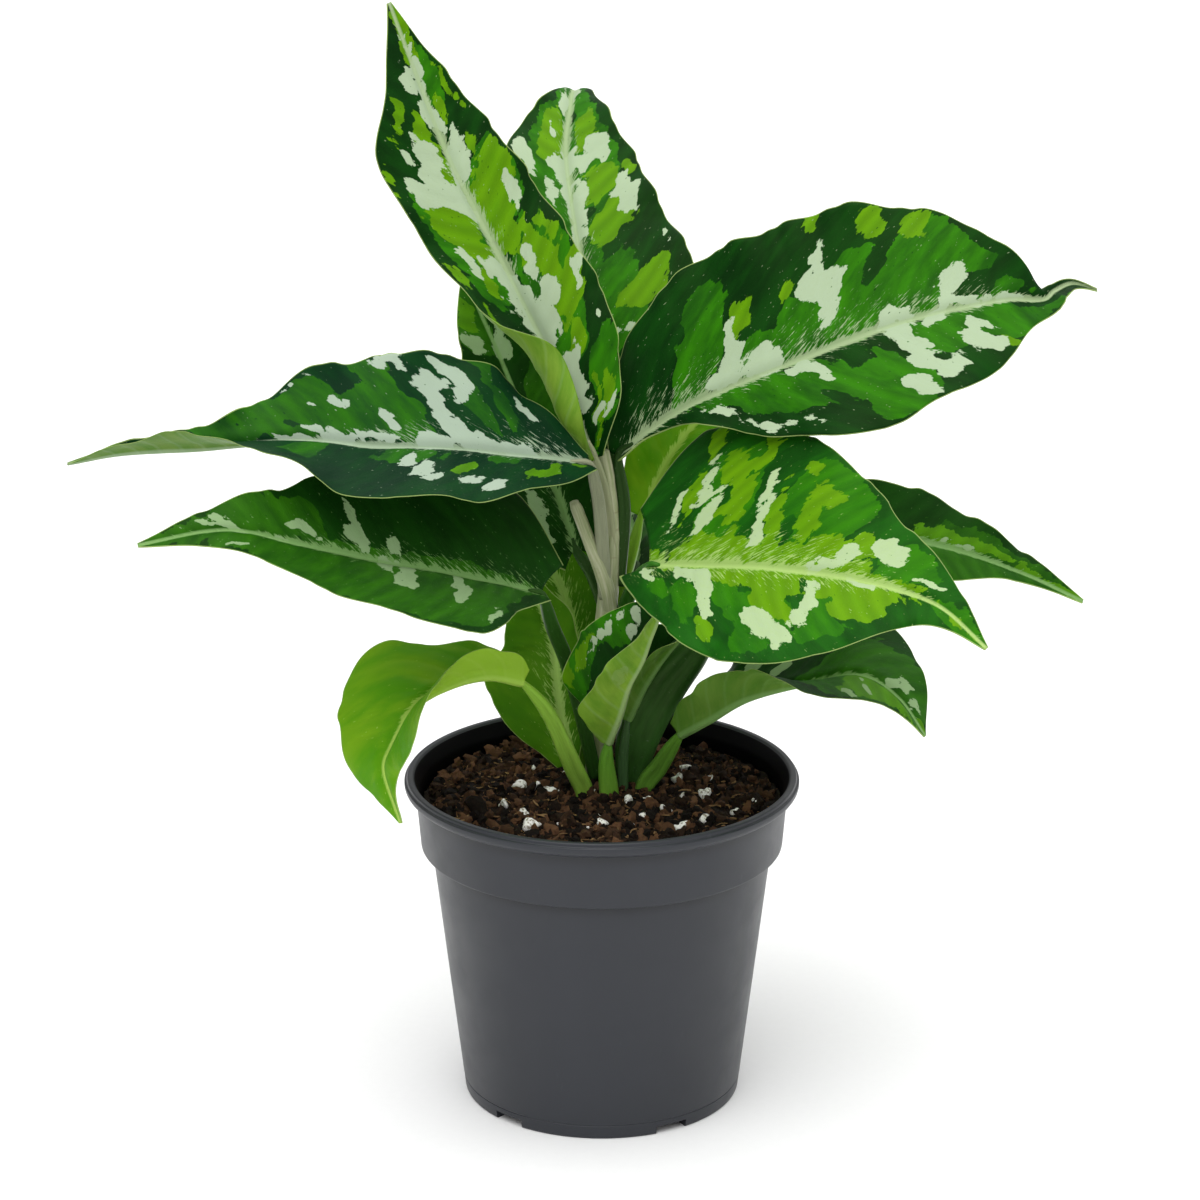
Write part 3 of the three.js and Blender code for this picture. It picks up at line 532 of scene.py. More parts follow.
def blade_surface(leaf, u, v, seed):
    """Points of a blade's middle surface on a grid, and how far along and across they lie."""
    curve = Curve(rows(leaf["midrib"]))
    out = np.abs(v)[None, :]
    right = (v >= 0)[None, :]

    def by_side(values):
        return np.where(right, values[1][:, None], values[0][:, None])

    along = curve.tangent(u)
    across = unit(np.cross(along, spread_vectors(rows(leaf["face"]), u)))
    up = unit(np.cross(across, along))
    scallops = by_side([scallop(u, curve.length, seed + k / 2) for k in range(2)])
    half = by_side([monotone(STATIONS, side + [TIP_HALF_WIDTH], u) for side in rows(leaf["half"])])
    half = half + SCALLOP_HEIGHT * scallops
    fold, roll = (np.radians(by_side([spread(side, u) for side in rows(leaf[key])]))
                  for key in ("fold", "roll"))
    roll = np.maximum(roll, 0.001)
    waves = by_side([height * fade(u, 6, 5) * np.sin(2 * np.pi * (count * u + start))
                     for height, count, start in rows(leaf["ruffle"])])
    ruffle = waves * out**RUFFLE_POWER + SCALLOP_HEIGHT * scallops * out**5
    turned_by = fold + roll * out
    sideways = half * (np.sin(turned_by) - np.sin(fold)) / roll - ruffle * np.sin(turned_by)
    lift = half * (np.cos(fold) - np.cos(turned_by)) / roll + ruffle * np.cos(turned_by)
    lobe = by_side([side * bell(u, LOBE_REACH) for side in rows(leaf["lobe"])[0]]) * out**LOBE_POWER
    side = np.where(right, 1, -1)
    points = (curve.at(u)[:, None] + (side * sideways)[..., None] * across[:, None]
              + lift[..., None] * up[:, None] - lobe[..., None] * along[:, None])
    return points, u[:, None] * curve.length - lobe, half * out, side, half, curve.length


def vein_start(along, across):
    """Where on the midrib the side vein that runs through a point begins, in mm."""
    return along - VEIN_SLANT * across - VEIN_BOW * across**2


def blade_relief(along, across, u, v, seed):
    """Height of a blade's upper side over its middle surface: a groove at the midrib and sunken veins."""
    veins = np.abs(np.sin(np.pi * vein_start(along, across) / VEIN_SPACING)) ** 0.6
    quilt = 0.26 * veins * soft_step(0.5, 5, across)
    midrib = 0.3 * bell(across - 3, 1.8) - 0.55 * bell(across, 1.2)
    sway = 0.9 * (value_noise(along / 14, np.sign(v) * across / 11 + 30, seed) - 0.5)
    return (quilt + midrib + sway) * fade(u, 8, 6) * (1 - v**4)


def warp(u, v, along, across, length, half, seed):
    """Places on a blade pushed about by smooth noise, so that patches come out with odd outlines."""
    x, y = along / 9, np.sign(v) * across / 7 + 20
    coarse, fine, coarse_too, fine_too = (
        value_noise(x * scale, y * scale, seed + k) - 0.5 for k, scale in enumerate((1, 3, 1, 3)))
    shift_x, shift_y = coarse + 0.4 * fine, coarse_too + 0.4 * fine_too
    return u + WARP * shift_x / length, v + WARP * shift_y / np.maximum(half, 8)


def patches(text):
    """Places and half sizes of a leaf's patches of one kind, as shares of the blade."""
    return [(along / 1000, across / 100, length / 1000, breadth / 100)
            for along, across, length, breadth in rows(text)]


def patch_field(spots, u, v, length, half):
    """Signed distance in mm into the nearest patch, positive inside."""
    field = np.full(u.shape, float(FAR_OUTSIDE))
    for along, across, half_length, half_breadth in spots:
        lean = PATCH_LEAN * (np.abs(v) - abs(across))
        x = np.abs(u - along - lean) / half_length
        y = np.abs(v - across) / half_breadth
        reach = (x**SQUARENESS + y**SQUARENESS) ** (1 / SQUARENESS)
        size = np.minimum(half_length * length, half_breadth * half)
        field = np.maximum(field, (1 - reach) * np.maximum(size, SMALLEST_PATCH))
    return field


def scattered(seed, count):
    """Chance patches all over a blade."""
    random = np.random.default_rng(seed)
    ranges = ((0.1, 0.85), (-0.8, 0.8), (0.015, 0.05), (0.06, 0.2))
    return [tuple(random.uniform(low, high) for low, high in ranges) for _ in range(count)]


def marking_fields(leaf, u, v, along, across, length, half, seed):
    """How far inside each kind of patch every point lies, in mm, and how near the feathered midrib."""
    start, end, left, right = rows(leaf["feather"])[0]
    width = np.where(v >= 0, right, left) * soft_step(start - 0.05, start + 0.05, u)
    width = width * (1 - soft_step(end - 0.3, end, u))
    fields = {"feather": np.clip(1 - across / np.maximum(width, 0.3), -1, 1)}
    first, count = map(int, leaf["scatter"].split())
    seed = first or seed
    u, v = warp(u, v, along, across, length, half, seed)
    for k, (layer, cut) in enumerate(LAYERS.items()):
        inside = patch_field(patches(leaf[layer]) + scattered(seed + k, count), u, v, length, half)
        fields[layer] = np.minimum(inside, -patch_field(patches(leaf[cut]), u, v, length, half))
    return fields


def flat_places(along, across, seed):
    """Places on a surface laid out flat in mm, far from those of another seed."""
    return np.stack([along, across, np.full_like(along, seed)], axis=-1)


def leaf_blade(leaf, seed):
    """Points, faces, faces' sides and fields of a thin closed blade."""
    u = np.linspace(0, 1, ROWS + 1)
    right = np.linspace(0, 1, HALF_COLUMNS + 1) ** 1.25
    v = np.concatenate([-right[:0:-1], right])
    middle, along, across, sign, half, length = blade_surface(leaf, u, v, seed)
    u, v = np.meshgrid(u, v, indexing="ij")
    normals = unit(np.cross(np.gradient(middle, axis=1), np.gradient(middle, axis=0)))
    relief = blade_relief(along, across, u, v, seed)
    thickness = BLADE_THICKNESS * (1 - 0.7 * np.abs(v) ** 8)
    rib = (1 - u) ** 0.8 * bell(across, RIB_WIDTH)
    upper = middle + normals * (thickness / 2 + relief)[..., None]
    under = middle + normals * (relief * (1 - rib) - thickness / 2 - RIB_DEPTH * rib)[..., None]
    points = np.vstack([upper.reshape(-1, 3), under.reshape(-1, 3)])
    grid, count = numbered(*u.shape), u.size
    edge = np.concatenate([grid[0], grid[1:, -1], grid[-1, -2::-1], grid[-2:0:-1, 0]])
    beside = np.roll(edge, -1)
    sides = [quads(grid), quads(grid + count)[:, ::-1],
             np.stack([edge + count, beside + count, beside, edge], axis=-1)]
    looks = np.repeat([0, 1, 0], [len(side) for side in sides])
    start = vein_start(along, across)
    fields = {
        **marking_fields(leaf, u, v, along, across, length, half, 10 * seed),
        "flat": flat_places(start, sign * across, SEED_STEP * seed),
        "rim": np.minimum((1 - np.abs(v)) * half, along + across + 3),
        "rib": across,
    }
    for key, values in fields.items():
        fields[key] = np.concatenate([values.reshape(count, -1)] * 2).squeeze()
    return points, np.vstack(sides).tolist(), looks, fields


def stalk_shape(share, turn):
    """A stalk's outline: a channel down the side that faces the blade, gone at the blade."""
    channel = 0.34 * bell(turn, 0.5) * (1 - soft_step(0.75, 1, share))
    wings = 0.12 * bell(np.abs(turn) - 0.9, 0.3) * (1 - soft_step(0.5, 0.9, share))
    return 1 - channel + wings


def shifted(faces, count):
    """Faces of a body whose points come after that many others."""
    return [[count + k for k in face] for face in faces]


def build_leaf(name, leaf, looks, seed):
    """One leaf, blade and stalk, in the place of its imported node."""
    points, faces, face_looks, fields = leaf_blade(leaf, seed)
    midrib, face = rows(leaf["midrib"]), rows(leaf["face"])
    in_blade = Curve(midrib).at(np.array(0.04))
    route = rows(leaf["stalk"]) + [midrib[0], in_blade.tolist()]
    girth = rows(leaf["girth"])[0] + [0.6]
    stalk, stalk_faces, share, turn, length = tube(
        route, girth, STALK_SIDES, STALK_STEPS, face[0], stalk_shape)
    for key, values in fields.items():
        fields[key] = np.concatenate([values, np.zeros((len(stalk), *values.shape[1:]))])
    fields["flat"][len(points):] = flat_places(share * length, turn * 3, SEED_STEP * seed)
    fields["share"] = np.concatenate([np.ones(len(points)), share])
    face_looks = np.concatenate([face_looks, np.full(len(stalk_faces), 2)])
    faces += shifted(stalk_faces, len(points))
    made = piece(name + "_fine", np.vstack([points, stalk]), faces, looks, face_looks, fields)
    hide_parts(name)


# ---------- materials ----------

def colour(code):
    """Linear colour of an sRGB hex code."""
    channels = [int(code[i:i + 2], 16) / 255 for i in (0, 2, 4)]
    linear = [c / 12.92 if c <= 0.04045 else ((c + 0.055) / 1.055) ** 2.4 for c in channels]
    return (*linear, 1.0)


def between(first, second, share):
    """Colour part of the way from one to another."""
    return tuple(a + (b - a) * share for a, b in zip(first, second))


class Look:
    """Builds one node material round a Principled shader, one coat of colour over another."""

    def __init__(self, name, **fixed):
        self.material = bpy.data.materials.new(name)
        self.material.use_nodes = True
        self.tree = self.material.node_tree
        for socket, value in fixed.items():
            self.give(socket.replace("_", " "), value)

    def feed(self, socket, value):
        """Links a socket to another one, or sets it to a number, a vector or a hex code's colour."""
        if isinstance(value, bpy.types.NodeSocket):
            self.tree.links.new(value, socket)
        else:
            socket.default_value = colour(value) if isinstance(value, str) else value

    def give(self, name, value):
        self.feed(self.tree.nodes["Principled BSDF"].inputs[name], value)

    def node(self, kind, inputs, **settings):
        """Outputs of a new node."""
        made = self.tree.nodes.new("ShaderNode" + kind)
        for key, value in settings.items():
            setattr(made, key, value)
        for key, value in inputs.items():
            self.feed(made.inputs[key], value)
        return made.outputs

    def field(self, name, output="Fac"):
        return self.node("Attribute", {}, attribute_name=name)[output]

    def calc(self, operation, a, b=0):
        return self.node("Math", {0: a, 1: b}, operation=operation)[0]

    def plus(self, a, b):
        return self.calc("ADD", a, b)

    def times(self, a, b):
        return self.calc("MULTIPLY", a, b)

    def step(self, value, low, high, start=0, end=1):
        inputs = {"Value": value, "From Min": low, "From Max": high, "To Min": start, "To Max": end}
        return self.node("MapRange", inputs, interpolation_type="SMOOTHSTEP")[0]

    def mix(self, share, a, b):
        return self.node("Mix", {0: share, 6: a, 7: b}, data_type="RGBA")[2]

    def stretch(self, vector, *scale):
        return self.node("Mapping", {"Vector": vector, "Scale": scale})[0]

    def parts(self, vector):
        return self.node("SeparateXYZ", {0: vector})

    def noise(self, vector, scale, detail=2, roughness=0.5, layer=0):
        inputs = {"Vector": vector, "W": layer, "Scale": scale, "Detail": detail, "Roughness": roughness}
        return self.node("TexNoise", inputs, noise_dimensions="4D")[0]

    def place(self):
        return self.node("TexCoord", {})["Object"]

    def coat(self, shade, share=1, strength=1):
        """Covers a share of what is painted so far."""
        self.painted = self.mix(self.times(share, strength), self.painted, shade) if share != 1 else shade

    def finish(self, height, strength, distance):
        """The material, with its colour and a bump."""
        bump = self.node("Bump", {"Height": height, "Strength": strength, "Distance": distance})
        self.give("Normal", bump[0])
        self.give("Base Color", self.painted)
        return self.material


def ragged(look, flat, field, layer, grown):
    """Mask of the patches of one field, with torn edges, grown by some millimetres."""
    coarse = look.times(look.noise(flat, 0.3, 1, 0.5, layer), 4.5)
    fine = look.times(look.noise(flat, 1.1, 3, 0.7, layer + 5), 2.2)
    edge = look.plus(look.field(field), look.plus(look.plus(coarse, fine), grown - 3.35))
    return look.step(edge, -0.1, 0.1)


def streaks(look, flat):
    """Fine dashes that lean off the midrib towards the tip."""
    along, across, blade = look.parts(flat)
    slant = look.plus(along, look.times(look.calc("ABSOLUTE", across), -1.05))
    inputs = {0: look.times(slant, 1.15), 1: look.times(across, 0.34), 2: blade}
    return look.noise(look.node("CombineXYZ", inputs)[0], 1, 3, 0.75, 7)


def from_vein(look, flat):
    """Distance along the blade to the nearest side vein, in mm."""
    return look.calc("PINGPONG", look.parts(flat)[0], VEIN_SPACING / 2)


def upper_look(name, shades):
    """Marbled, waxy upper side of a blade."""
    look = Look(name, Specular_IOR_Level=0.09, Specular_Tint=SPECULAR_TINT)
    flat = look.field("flat", "Vector")
    veinwise = look.stretch(flat, 1, 0.6, 1)
    cloud = look.step(look.noise(veinwise, 0.09, 3, 0.6), 0.35, 0.65)
    look.coat(look.mix(cloud, shades.dark, shades.shade))
    cloud = look.step(look.noise(veinwise, 0.14, 3, 0.6, 2), 0.35, 0.7)
    mid = look.mix(cloud, shades.mid, between(shades.mid, shades.shade, 0.7))
    look.coat(mid, ragged(look, veinwise, "mid", 1, 0.5))
    cloud = look.noise(veinwise, 0.12, 3, 0.6, 3)
    lime = look.mix(cloud, shades.lime, between(shades.lime, shades.mid, 0.6))
    look.coat(lime, ragged(look, veinwise, "lime", 2, 0.3))
    # Painted shade: darker bands between the side veins, standing in for the shading of the quilted relief.
    look.coat(shades.dark, look.step(from_vein(look, flat), 0, VEIN_SPACING / 2, 0, 0.22))
    patchy = look.times(look.noise(veinwise, 0.4, 2, 0.5, 8), 0.3)
    reach = look.plus(look.times(look.field("feather"), 0.13), patchy)
    inner = look.step(look.field("rib"), 2, 0.8, 0, 0.14)
    feather = look.plus(look.plus(reach, inner), streaks(look, flat))
    look.coat(shades.feather, look.step(feather, 0.75, 0.82), 0.8)
    cloud = look.noise(flat, 0.6, 4, 0.7, 4)
    silver = look.mix(cloud, shades.silver, between(shades.silver, shades.feather, 0.6))
    look.coat(silver, ragged(look, flat, "silver", 4, 0.1))
    look.coat(shades.feather, look.step(look.noise(flat, 1.2, 1, 0.5, 9), 0.72, 0.75), 0.5)
    look.coat(shades.shade, look.step(look.noise(flat, 0.9, 1, 0.5, 11), 0.72, 0.74), 0.8)
    look.coat(shades.feather, look.step(look.field("rib"), 0.9, 0.4), 0.7)
    look.coat(SEAM, look.step(look.field("rim"), 0.34, 0.16, 0, 0.7))
    look.give("Roughness", look.step(look.noise(flat, 0.3, 3, 0.6, 13), 0.2, 0.8, 0.4, 0.52))
    return look.finish(look.noise(look.stretch(flat, 1, 0.35, 1), 2.2, 3, 0.6, 12), 0.25, 0.0004)


def under_look(name, shades):
    """Dull, paler underside of a blade with raised veins."""
    look = Look(name, Specular_IOR_Level=0.2, Roughness=0.5, Specular_Tint=SPECULAR_TINT)
    flat = look.field("flat", "Vector")
    veinwise = look.stretch(flat, 1, 0.35, 1)
    cloud = look.step(look.noise(veinwise, 0.2, 4, 0.65, 1), 0.3, 0.7)
    look.coat(look.mix(cloud, between(shades.under, shades.mid, 0.5), shades.under))
    look.coat(between(shades.under, shades.silver, 0.6), ragged(look, flat, "silver", 4, 0.4), 0.2)
    vein = look.times(look.step(from_vein(look, flat), 0.9, 0.1), 0.12)
    look.coat(shades.feather, vein)
    look.coat(shades.feather, look.step(look.field("rib"), 1.6, 0.8, 0, 0.5))
    return look.finish(look.plus(vein, look.noise(veinwise, 2, 3, 0.6, 3)), 0.3, 0.0004)


def stalk_look(name, foot, top):
    """Smooth stalk with fine lengthwise streaks, of one colour at its foot and another at the blade."""
    look = Look(name, Specular_IOR_Level=0.25, Roughness=0.4, Specular_Tint=SPECULAR_TINT)
    flat = look.field("flat", "Vector")
    lengthwise = look.stretch(flat, 0.12, 1.4, 1)
    look.coat(look.mix(look.field("share"), foot, top))
    streak = look.step(look.noise(lengthwise, 0.9, 3, 0.6), 0.35, 0.75, 0, 0.5)
    look.coat(between(BLACK, top, 0.55), streak)
    flecks = look.step(look.noise(flat, 0.8, 2, 0.6, 4), 0.66, 0.74, 0, 0.15)
    look.coat(between(top, WHITE, 0.5), flecks)
    return look.finish(look.noise(lengthwise, 1.6, 3, 0.6, 2), 0.25, 0.0004)


def stem_look():
    """Pale, papery stem of old leaf sheaths."""
    look = Look("stem_sheath", Specular_IOR_Level=0.35, Roughness=0.5)
    flat = look.field("flat", "Vector")
    lengthwise = look.stretch(flat, 0.1, 1.2, 1)
    cloud = look.step(look.noise(lengthwise, 0.8, 4, 0.6), 0.3, 0.7)
    look.coat(look.mix(cloud, "b4b596", "8b9468"))
    green = look.noise(look.stretch(flat, 0.05, 0.4, 1), 0.9, 2, 0.5, 3)
    look.coat("6d7d48", look.step(green, 0.45, 0.75, 0, 0.6))
    scars = look.noise(look.stretch(flat, 1, 0.15, 1), 0.35, 2, 0.5, 6)
    look.coat("6f6142", look.step(scars, 0.64, 0.72, 0, 0.5))
    return look.finish(look.noise(lengthwise, 1.5, 3, 0.6, 2), 0.4, 0.0005)


def pot_look():
    """Matt slate grey moulded plastic with a fine grain, with painted shade under the rim, at the band's
    foot and over the inner wall.
    """
    look = Look("pot_plastic")
    place = look.place()
    look.coat(look.mix(look.noise(look.stretch(place, 1, 1, 0.35), 22, 4, 0.6), "222429", "2b2e35"))
    height = look.parts(place)[2]
    # Painted shade: a dark band fading down from just under the rim's roll, and another under the band's
    # foot, where the overhangs shade the wall.
    for edge, depth in ((POT_HEIGHT - 4.7, 0.5), (BAND_FOOT_Z + 0.1, 0.55)):
        above = look.step(height, (edge - 5) * MM, edge * MM, 0, depth)
        below = look.step(height, edge * MM, (edge + 0.3) * MM, 1, 0)
        look.coat("0c0d10", above, below)
    scuffs = look.noise(look.stretch(place, 1, 1, 0.2), 260, 3, 0.6, 2)
    look.coat("7a7d82", look.step(scuffs, 0.66, 0.8, 0, 0.12))
    # Painted shade: the inner wall is painted near black, with weaker reflections, for the shade inside the
    # pot.
    inside = look.field("inside")
    look.coat("050506", inside)
    look.give("Specular IOR Level", look.step(inside, 0, 1, 0.4, 0.08))
    look.give("Roughness", look.step(look.noise(place, 60, 4, 0.6, 3), 0.25, 0.75, 0.36, 0.48))
    return look.finish(look.noise(place, 2600, 2, 0.5, 4), 0.12, 0.0002)


def earth_look(name, dark, light, scale):
    """Rough brown matter, each crumb with a tone of its own."""
    look = Look(name, Specular_IOR_Level=0.2, Roughness=0.9)
    place = look.place()
    cloud = look.times(look.noise(place, scale, 4, 0.7), 0.35)
    tone = look.plus(look.times(look.field("tone"), 0.75), cloud)
    look.coat(look.mix(look.step(tone, 0.1, 1), dark, light))
    return look.finish(look.noise(place, scale * 2.2, 4, 0.75, 3), 0.9, 0.0012)


def perlite_look():
    """White, pitted grains."""
    look = Look("perlite", Specular_IOR_Level=0.3, Roughness=0.75)
    pits = look.noise(look.place(), 1100, 3, 0.6)
    look.coat(look.mix(look.step(pits, 0.36, 0.52), "8f8577", "f4f2ee"))
    return look.finish(pits, 0.8, 0.0005)


def paper_look():
    """Pale studio paper."""
    look = Look("paper", Roughness=0.9, Specular_IOR_Level=0.1)
    pale, paler = ((grey, grey, grey, 1) for grey in (0.92, 0.95))
    look.give("Base Color", look.mix(look.noise(look.place(), 400), pale, paler))
    return look.material


# ---------- stem ----------

def sheath_shape(share, turn):
    """A stem's outline: edges of old sheaths that wind up it, and a scar where each one ended."""
    winding = np.mod(turn / (2 * np.pi) + 1.3 * share, 1)
    rings = np.mod(share * 7, 1)
    return 0.94 + 0.14 * bell(winding - 0.5, 0.05) + 0.06 * bell(rings - 0.5, 0.08)


def stub_shape(share, turn):
    """A cut stalk's outline: a rounded top and a channel down one side."""
    return (1 - 0.25 * soft_step(0.94, 1, share)) * (1 - 0.3 * bell(turn, 0.5))


def build_stem():
    trunk = tube(STEM_ROUTE, STEM_GIRTH, 40, 160, (0, -1, 0), sheath_shape)
    stub = tube(STUB_ROUTE, STUB_GIRTH, 24, 50, (-1, -0.3, 0), stub_shape)
    flat = [flat_places(share * length, turn * 4, seed)
            for (_, _, share, turn, length), seed in ((trunk, 3), (stub, 90))]
    faces = trunk[1] + shifted(stub[1], len(trunk[0]))
    points = np.vstack([trunk[0], stub[0]])
    made = piece("stem_fine", points, faces, [stem_look()], fields={"flat": np.vstack(flat)})
    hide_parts("stem")


# ---------- pot ----------

def rounded(points, radius):
    """Outline with each corner cut to a short arc of about that radius."""
    points = np.asarray(points, float)
    arcs = [points[:1]]
    t = np.linspace(0, 1, 5)[:, None]
    for before, corner, after in zip(points[:-2], points[1:-1], points[2:]):
        back, on = before - corner, after - corner
        reach = min(radius, np.linalg.norm(back) / 2.2, np.linalg.norm(on) / 2.2)
        start, end = corner + unit(back) * reach, corner + unit(on) * reach
        arcs.append((1 - t) ** 2 * start + 2 * t * (1 - t) * corner + t**2 * end)
    return np.vstack(arcs + [points[-1:]])


def pot_outline():
    """Radius and height round the section of the wall, from under the floor to its upper side."""
    inner_foot, floor_z = FOOT_RADIUS - 4, WALL + 0.3
    band_top = BAND_RADIUS + 1.5
    return rounded([
        (inner_foot, 0), (FOOT_RADIUS, 0), (FOOT_RADIUS + 0.5, 4.3), (FOOT_RADIUS + 0.3, 4.5),
        (FOOT_RADIUS + 0.6, 4.8), (BODY_TOP_RADIUS, BAND_FOOT_Z - 0.4), (BAND_RADIUS, BAND_FOOT_Z),
        (band_top, POT_HEIGHT - 5.2), (RIM_RADIUS - 1, POT_HEIGHT - 4.3), (RIM_RADIUS, POT_HEIGHT - 3),
        (RIM_RADIUS, POT_HEIGHT - 1.4), (RIM_RADIUS - 0.7, POT_HEIGHT - 1.2), (RIM_RADIUS - 0.9, POT_HEIGHT),
        (RIM_RADIUS - 2.6, POT_HEIGHT), (RIM_RADIUS - 3.2, POT_HEIGHT - 0.8),
        (band_top - WALL, POT_HEIGHT - 5), (BAND_RADIUS - WALL, BAND_FOOT_Z + 3.2),
        (BODY_TOP_RADIUS - WALL, BAND_FOOT_Z + 1.2),
        (FOOT_RADIUS - WALL, floor_z), (inner_foot, floor_z),
    ], CORNER_RADIUS)


def cut_notches(pot):
    """Cuts the drainage notches through the bottom edge."""
    for k in range(NOTCH_COUNT):
        turn = math.radians(FIRST_NOTCH_DEG + k * 360 / NOTCH_COUNT)
        place = Vector((math.sin(turn), -math.cos(turn), 0)) * (FOOT_RADIUS - 1) * MM
        bpy.ops.mesh.primitive_cube_add(size=1, location=place, rotation=(0, 0, turn))
        cutter = bpy.context.object
        cutter.scale = [side * MM for side in (NOTCH_WIDTH, NOTCH_DEPTH, 2 * NOTCH_HEIGHT)]
        cut = pot.modifiers.new("notch", "BOOLEAN")
        cut.object, cut.operation, cut.solver = cutter, "DIFFERENCE", "EXACT"
        settled = pot.evaluated_get(bpy.context.evaluated_depsgraph_get())
        pot.data = bpy.data.meshes.new_from_object(settled)
        pot.modifiers.clear()
        bpy.data.objects.remove(cutter)


def build_pot():
    """Turned pot with a floor, its notches cut through."""
    outline = pot_outline()
    radii, heights = outline.T
    # inside marks the inner wall, which the pot's look paints in dark shade.
    inside = np.zeros(len(outline))
    inside[np.argmax(heights >= POT_HEIGHT - 0.01) + 8:] = 1
    made = piece("pot_fine", turned(radii, heights, POT_SEGMENTS), turned_faces(len(outline), POT_SEGMENTS),
                 [pot_look()], fields={"inside": np.repeat(inside, POT_SEGMENTS)})
    cut_notches(made)
    made.data.polygons.foreach_set("use_smooth", np.full(len(made.data.polygons), True))
    made.data.set_sharp_from_angle(angle=math.radians(SHARP_DEG))
    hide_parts("pot")


# ---------- soil ----------

def soil_surface(x, y):
    """Height of the mound, its clods, lumps and pits."""
    mound = SOIL_MOUND * np.cos(np.minimum(np.hypot(x, y) / SOIL_EDGE, 1) * np.pi / 2)
    clods = 0.6 * np.sin(0.55 * x + 1.3) * np.cos(0.48 * y - 0.4)
    lumps = value_noise(x / 5.5, y / 5.5, 1) + 0.6 * value_noise(x / 2.4, y / 2.4, 2)
    grains = value_noise(x / 1.1, y / 1.1, 3)
    return SOIL_LEVEL + mound + clods + 2.2 * (lumps - 0.9) + 0.9 * (grains - 0.5)


def build_soil():
    """Closed body of potting mix that follows the pot's inner wall."""
    inset = WALL + 0.7
    walls = np.array([(FOOT_RADIUS - inset, WALL + 0.7), (BODY_TOP_RADIUS - inset, BAND_FOOT_Z + 1.5),
                      (BAND_RADIUS - inset, BAND_FOOT_Z + 3.5)])
    side = turned(walls[:, 0], walls[:, 1], SOIL_SEGMENTS)
    top = turned(SOIL_EDGE * np.linspace(1, 0.004, SOIL_RINGS), soil_surface, SOIL_SEGMENTS)
    points = np.vstack([side, top])
    tone = 0.1 + 0.5 * value_noise(points[:, 0] / 3, points[:, 1] / 3, 5)
    made = piece("soil_fine", points, turned_faces(SOIL_RINGS + len(walls), SOIL_SEGMENTS),
                 [earth_look("potting_mix", "080503", "2f2114", 500)], fields={"tone": tone})
    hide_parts("soil")


def lump_shapes(random, count, subdivisions, roughness):
    """A few irregular lumps of unit size, as points and faces."""
    shapes = []
    for _ in range(count):
        ball = bmesh.new()
        bmesh.ops.create_icosphere(ball, subdivisions=subdivisions, radius=1)
        points = np.array([corner.co for corner in ball.verts])
        faces = [[corner.index for corner in face.verts] for face in ball.faces]
        ball.free()
        swell = 1 + roughness * (random.random(len(points)) - 0.5)
        direction = unit(random.normal(size=(3, 3)))
        swell = swell + 0.25 * np.sin(3 * points @ direction[0]) + 0.15 * np.sin(5 * points @ direction[1])
        shapes.append((points * swell[:, None], faces))
    return shapes


def random_turn(random):
    """A random rotation matrix."""
    matrix, _ = np.linalg.qr(random.normal(size=(3, 3)))
    return matrix * np.sign(np.linalg.det(matrix))


def heap(name, bodies, look, smooth=True):
    """One mesh of many small bodies, each with points, faces and a tone."""
    points, tones = [], []
    faces, count = [], 0
    for body, body_faces, tone in bodies:
        points.append(body)
        tones.append(np.full(len(body), tone))
        faces += shifted(body_faces, count)
        count += len(body)
    piece(name, np.vstack(points), faces, [look], fields={"tone": np.concatenate(tones)}, smooth=smooth)


def lumps(shapes, spots, random):
    """Lumps at (x, y, size, sink), turned at random."""
    for x, y, size, sink in spots:
        shape, faces = shapes[random.integers(len(shapes))]
        stretch = size * random.uniform(0.45, 1.15, 3)
        body = (shape * stretch) @ random_turn(random).T
        yield body + [x, y, soil_surface(x, y) + size * sink], faces, random.random() ** 2


def random_spots(random, count, reach, low, high, sink):
    """Places on the soil, small sizes more often than large ones."""
    r = reach * np.sqrt(random.random(count))
    angle = 2 * np.pi * random.random(count)
    size = low + (high - low) * random.random(count) ** 3
    return [(a * math.cos(b), a * math.sin(b), c, sink) for a, b, c in zip(r, angle, size)]


def build_crumbs():
    """Crumbs, chips of bark and perlite grains on the soil."""
    random = np.random.default_rng(21)
    crumbs = random_spots(random, CRUMB_COUNT, 53.2, 0.3, 2.3, 0.25)
    crumbs += random_spots(random, BARK_COUNT, 50, 1.8, 3.4, 0.1)
    look = earth_look("crumbs", "0b0704", "745238", 1300)
    heap("soil_crumbs", lumps(lump_shapes(random, 10, 2, 0.8), crumbs, random), look, smooth=False)
    grains = [(x, y, size / 1.25, 0.45) for x, y, size in PERLITE]
    grains += random_spots(random, PERLITE_COUNT, 52, 0.5, 1.9, 0.5)
    heap("soil_perlite", lumps(lump_shapes(random, 6, 3, 0.12), grains, random), perlite_look())


def build_fibres():
    """Thin bent fibres and slivers of bark lying on the soil."""
    random = np.random.default_rng(34)
    bodies = []
    for x, y, length, _ in random_spots(random, FIBRE_COUNT, 50, 1.5, 7, 0):
        heading = random.uniform(0, 2 * np.pi)
        ahead = np.array([math.cos(heading), math.sin(heading), random.uniform(-0.1, 0.35)])
        bend = np.array([-ahead[1], ahead[0], 0]) * random.uniform(-0.3, 0.3) * length
        middle = np.array([x, y, soil_surface(x, y) + 0.6])
        route = [middle - ahead * length / 2, middle + bend, middle + ahead * length / 2]
        thick = random.uniform(0.12, 0.34)
        points, faces, *_ = tube(route, [thick * 0.6, thick, thick * 0.4], 5, 7, (0.1, 0.2, 1))
        outside = np.hypot(points[:, :1], points[:, 1:2]) > FIBRE_EDGE
        points = np.where(outside, points * [0.96, 0.96, 1], points)
        bodies.append((points, faces, random.uniform(0.3, 1)))
    heap("soil_fibres", bodies, earth_look("fibres", "3a2615", "b08c60", 900))


# ---------- stage ----------

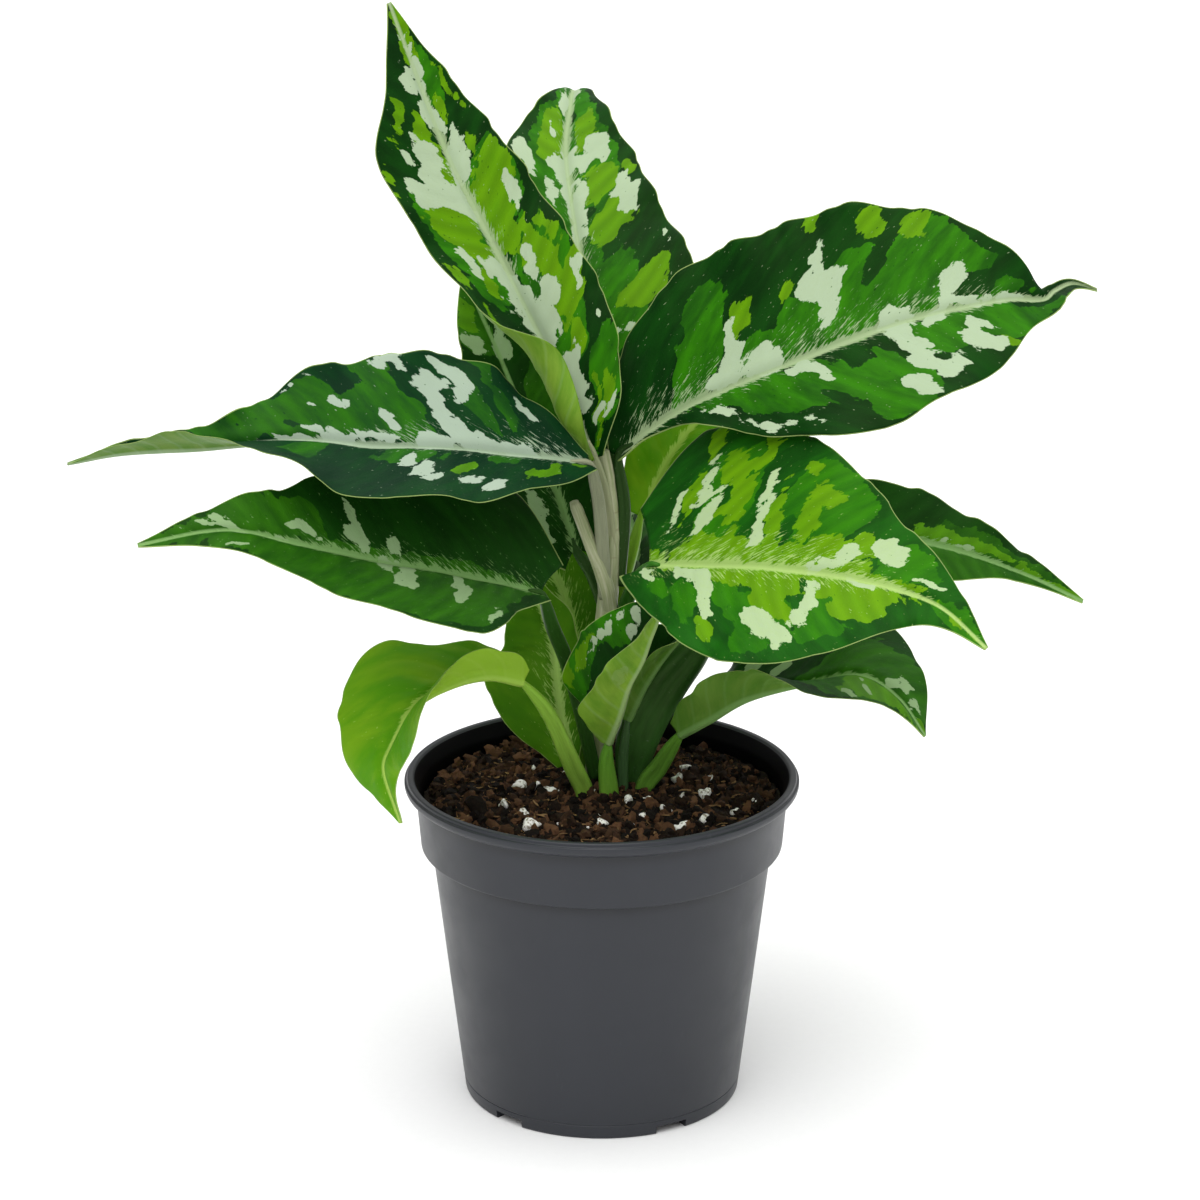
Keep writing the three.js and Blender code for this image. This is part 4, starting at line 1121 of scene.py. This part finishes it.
def aim(name, data, place, target=(0, 0, 0)):
    """A camera or lamp that looks from a place at a target."""
    made = bpy.data.objects.new(name, data)
    made.location = place
    made.rotation_mode = "QUATERNION"
    made.rotation_quaternion = (Vector(target) - Vector(place)).to_track_quat("-Z", "Y")
    bpy.context.scene.collection.objects.link(made)
    return made


def build_camera():
    data = bpy.data.cameras.new("camera")
    data.lens, data.sensor_width = CAMERA_LENS, SENSOR_WIDTH
    bpy.context.scene.camera = aim("camera", data, CAMERA_PLACE, CAMERA_AIM)


def build_stage():
    """Plain floor, even white surroundings and distant soft lamps."""
    scene = bpy.context.scene
    scene.view_settings.view_transform = "Standard"
    scene.world = bpy.data.worlds.new("studio")
    scene.world.use_nodes = True
    backdrop = scene.world.node_tree.nodes["Background"].inputs
    backdrop["Color"].default_value = WHITE
    backdrop["Strength"].default_value = WORLD_STRENGTH
    mesh = bpy.data.meshes.new("floor")
    corners = [(x * FLOOR_REACH, y * FLOOR_REACH, 0) for x, y in ((-1, -1), (1, -1), (1, 1), (-1, 1))]
    mesh.from_pydata(corners, [], [(0, 1, 2, 3)])
    mesh.materials.append(paper_look())
    floor = bpy.data.objects.new("floor", mesh)
    scene.collection.objects.link(floor)
    floor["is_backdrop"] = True
    for name, (place, width_deg, strength) in LAMPS.items():
        data = bpy.data.lights.new(name, "SUN")
        data.angle, data.energy = math.radians(width_deg), strength
        aim(name, data, place)


# ---------- assembly ----------

def build_leaves():
    looks = {}
    for kind, codes in COLOURS.items():
        shades = SimpleNamespace(**dict(zip(SHADES, map(colour, codes.split()))))
        looks[kind] = [upper_look(kind + "_upper", shades), under_look(kind + "_under", shades)]
    for seed, (name, shape) in enumerate(LEAVES.items(), start=1):
        leaf = {**LEAF_DEFAULTS, **shape}
        stalk = stalk_look(name + "_stalk", *map(colour, leaf["tints"].split()))
        build_leaf(name, leaf, looks[leaf["colours"]] + [stalk], seed)


def corners(box):
    return [list(corner) for corner in box]


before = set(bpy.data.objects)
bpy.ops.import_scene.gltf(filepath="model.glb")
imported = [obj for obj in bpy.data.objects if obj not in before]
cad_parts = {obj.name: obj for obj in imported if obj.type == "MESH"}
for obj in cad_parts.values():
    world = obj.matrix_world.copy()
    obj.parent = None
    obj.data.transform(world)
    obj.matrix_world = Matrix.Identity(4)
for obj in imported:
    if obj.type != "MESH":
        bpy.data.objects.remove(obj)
cad_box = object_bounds()
build_camera()
build_stage()
build_pot()
build_soil()
build_crumbs()
build_fibres()
build_stem()
build_leaves()
{"cad": corners(cad_box), "visual": corners(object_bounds())}
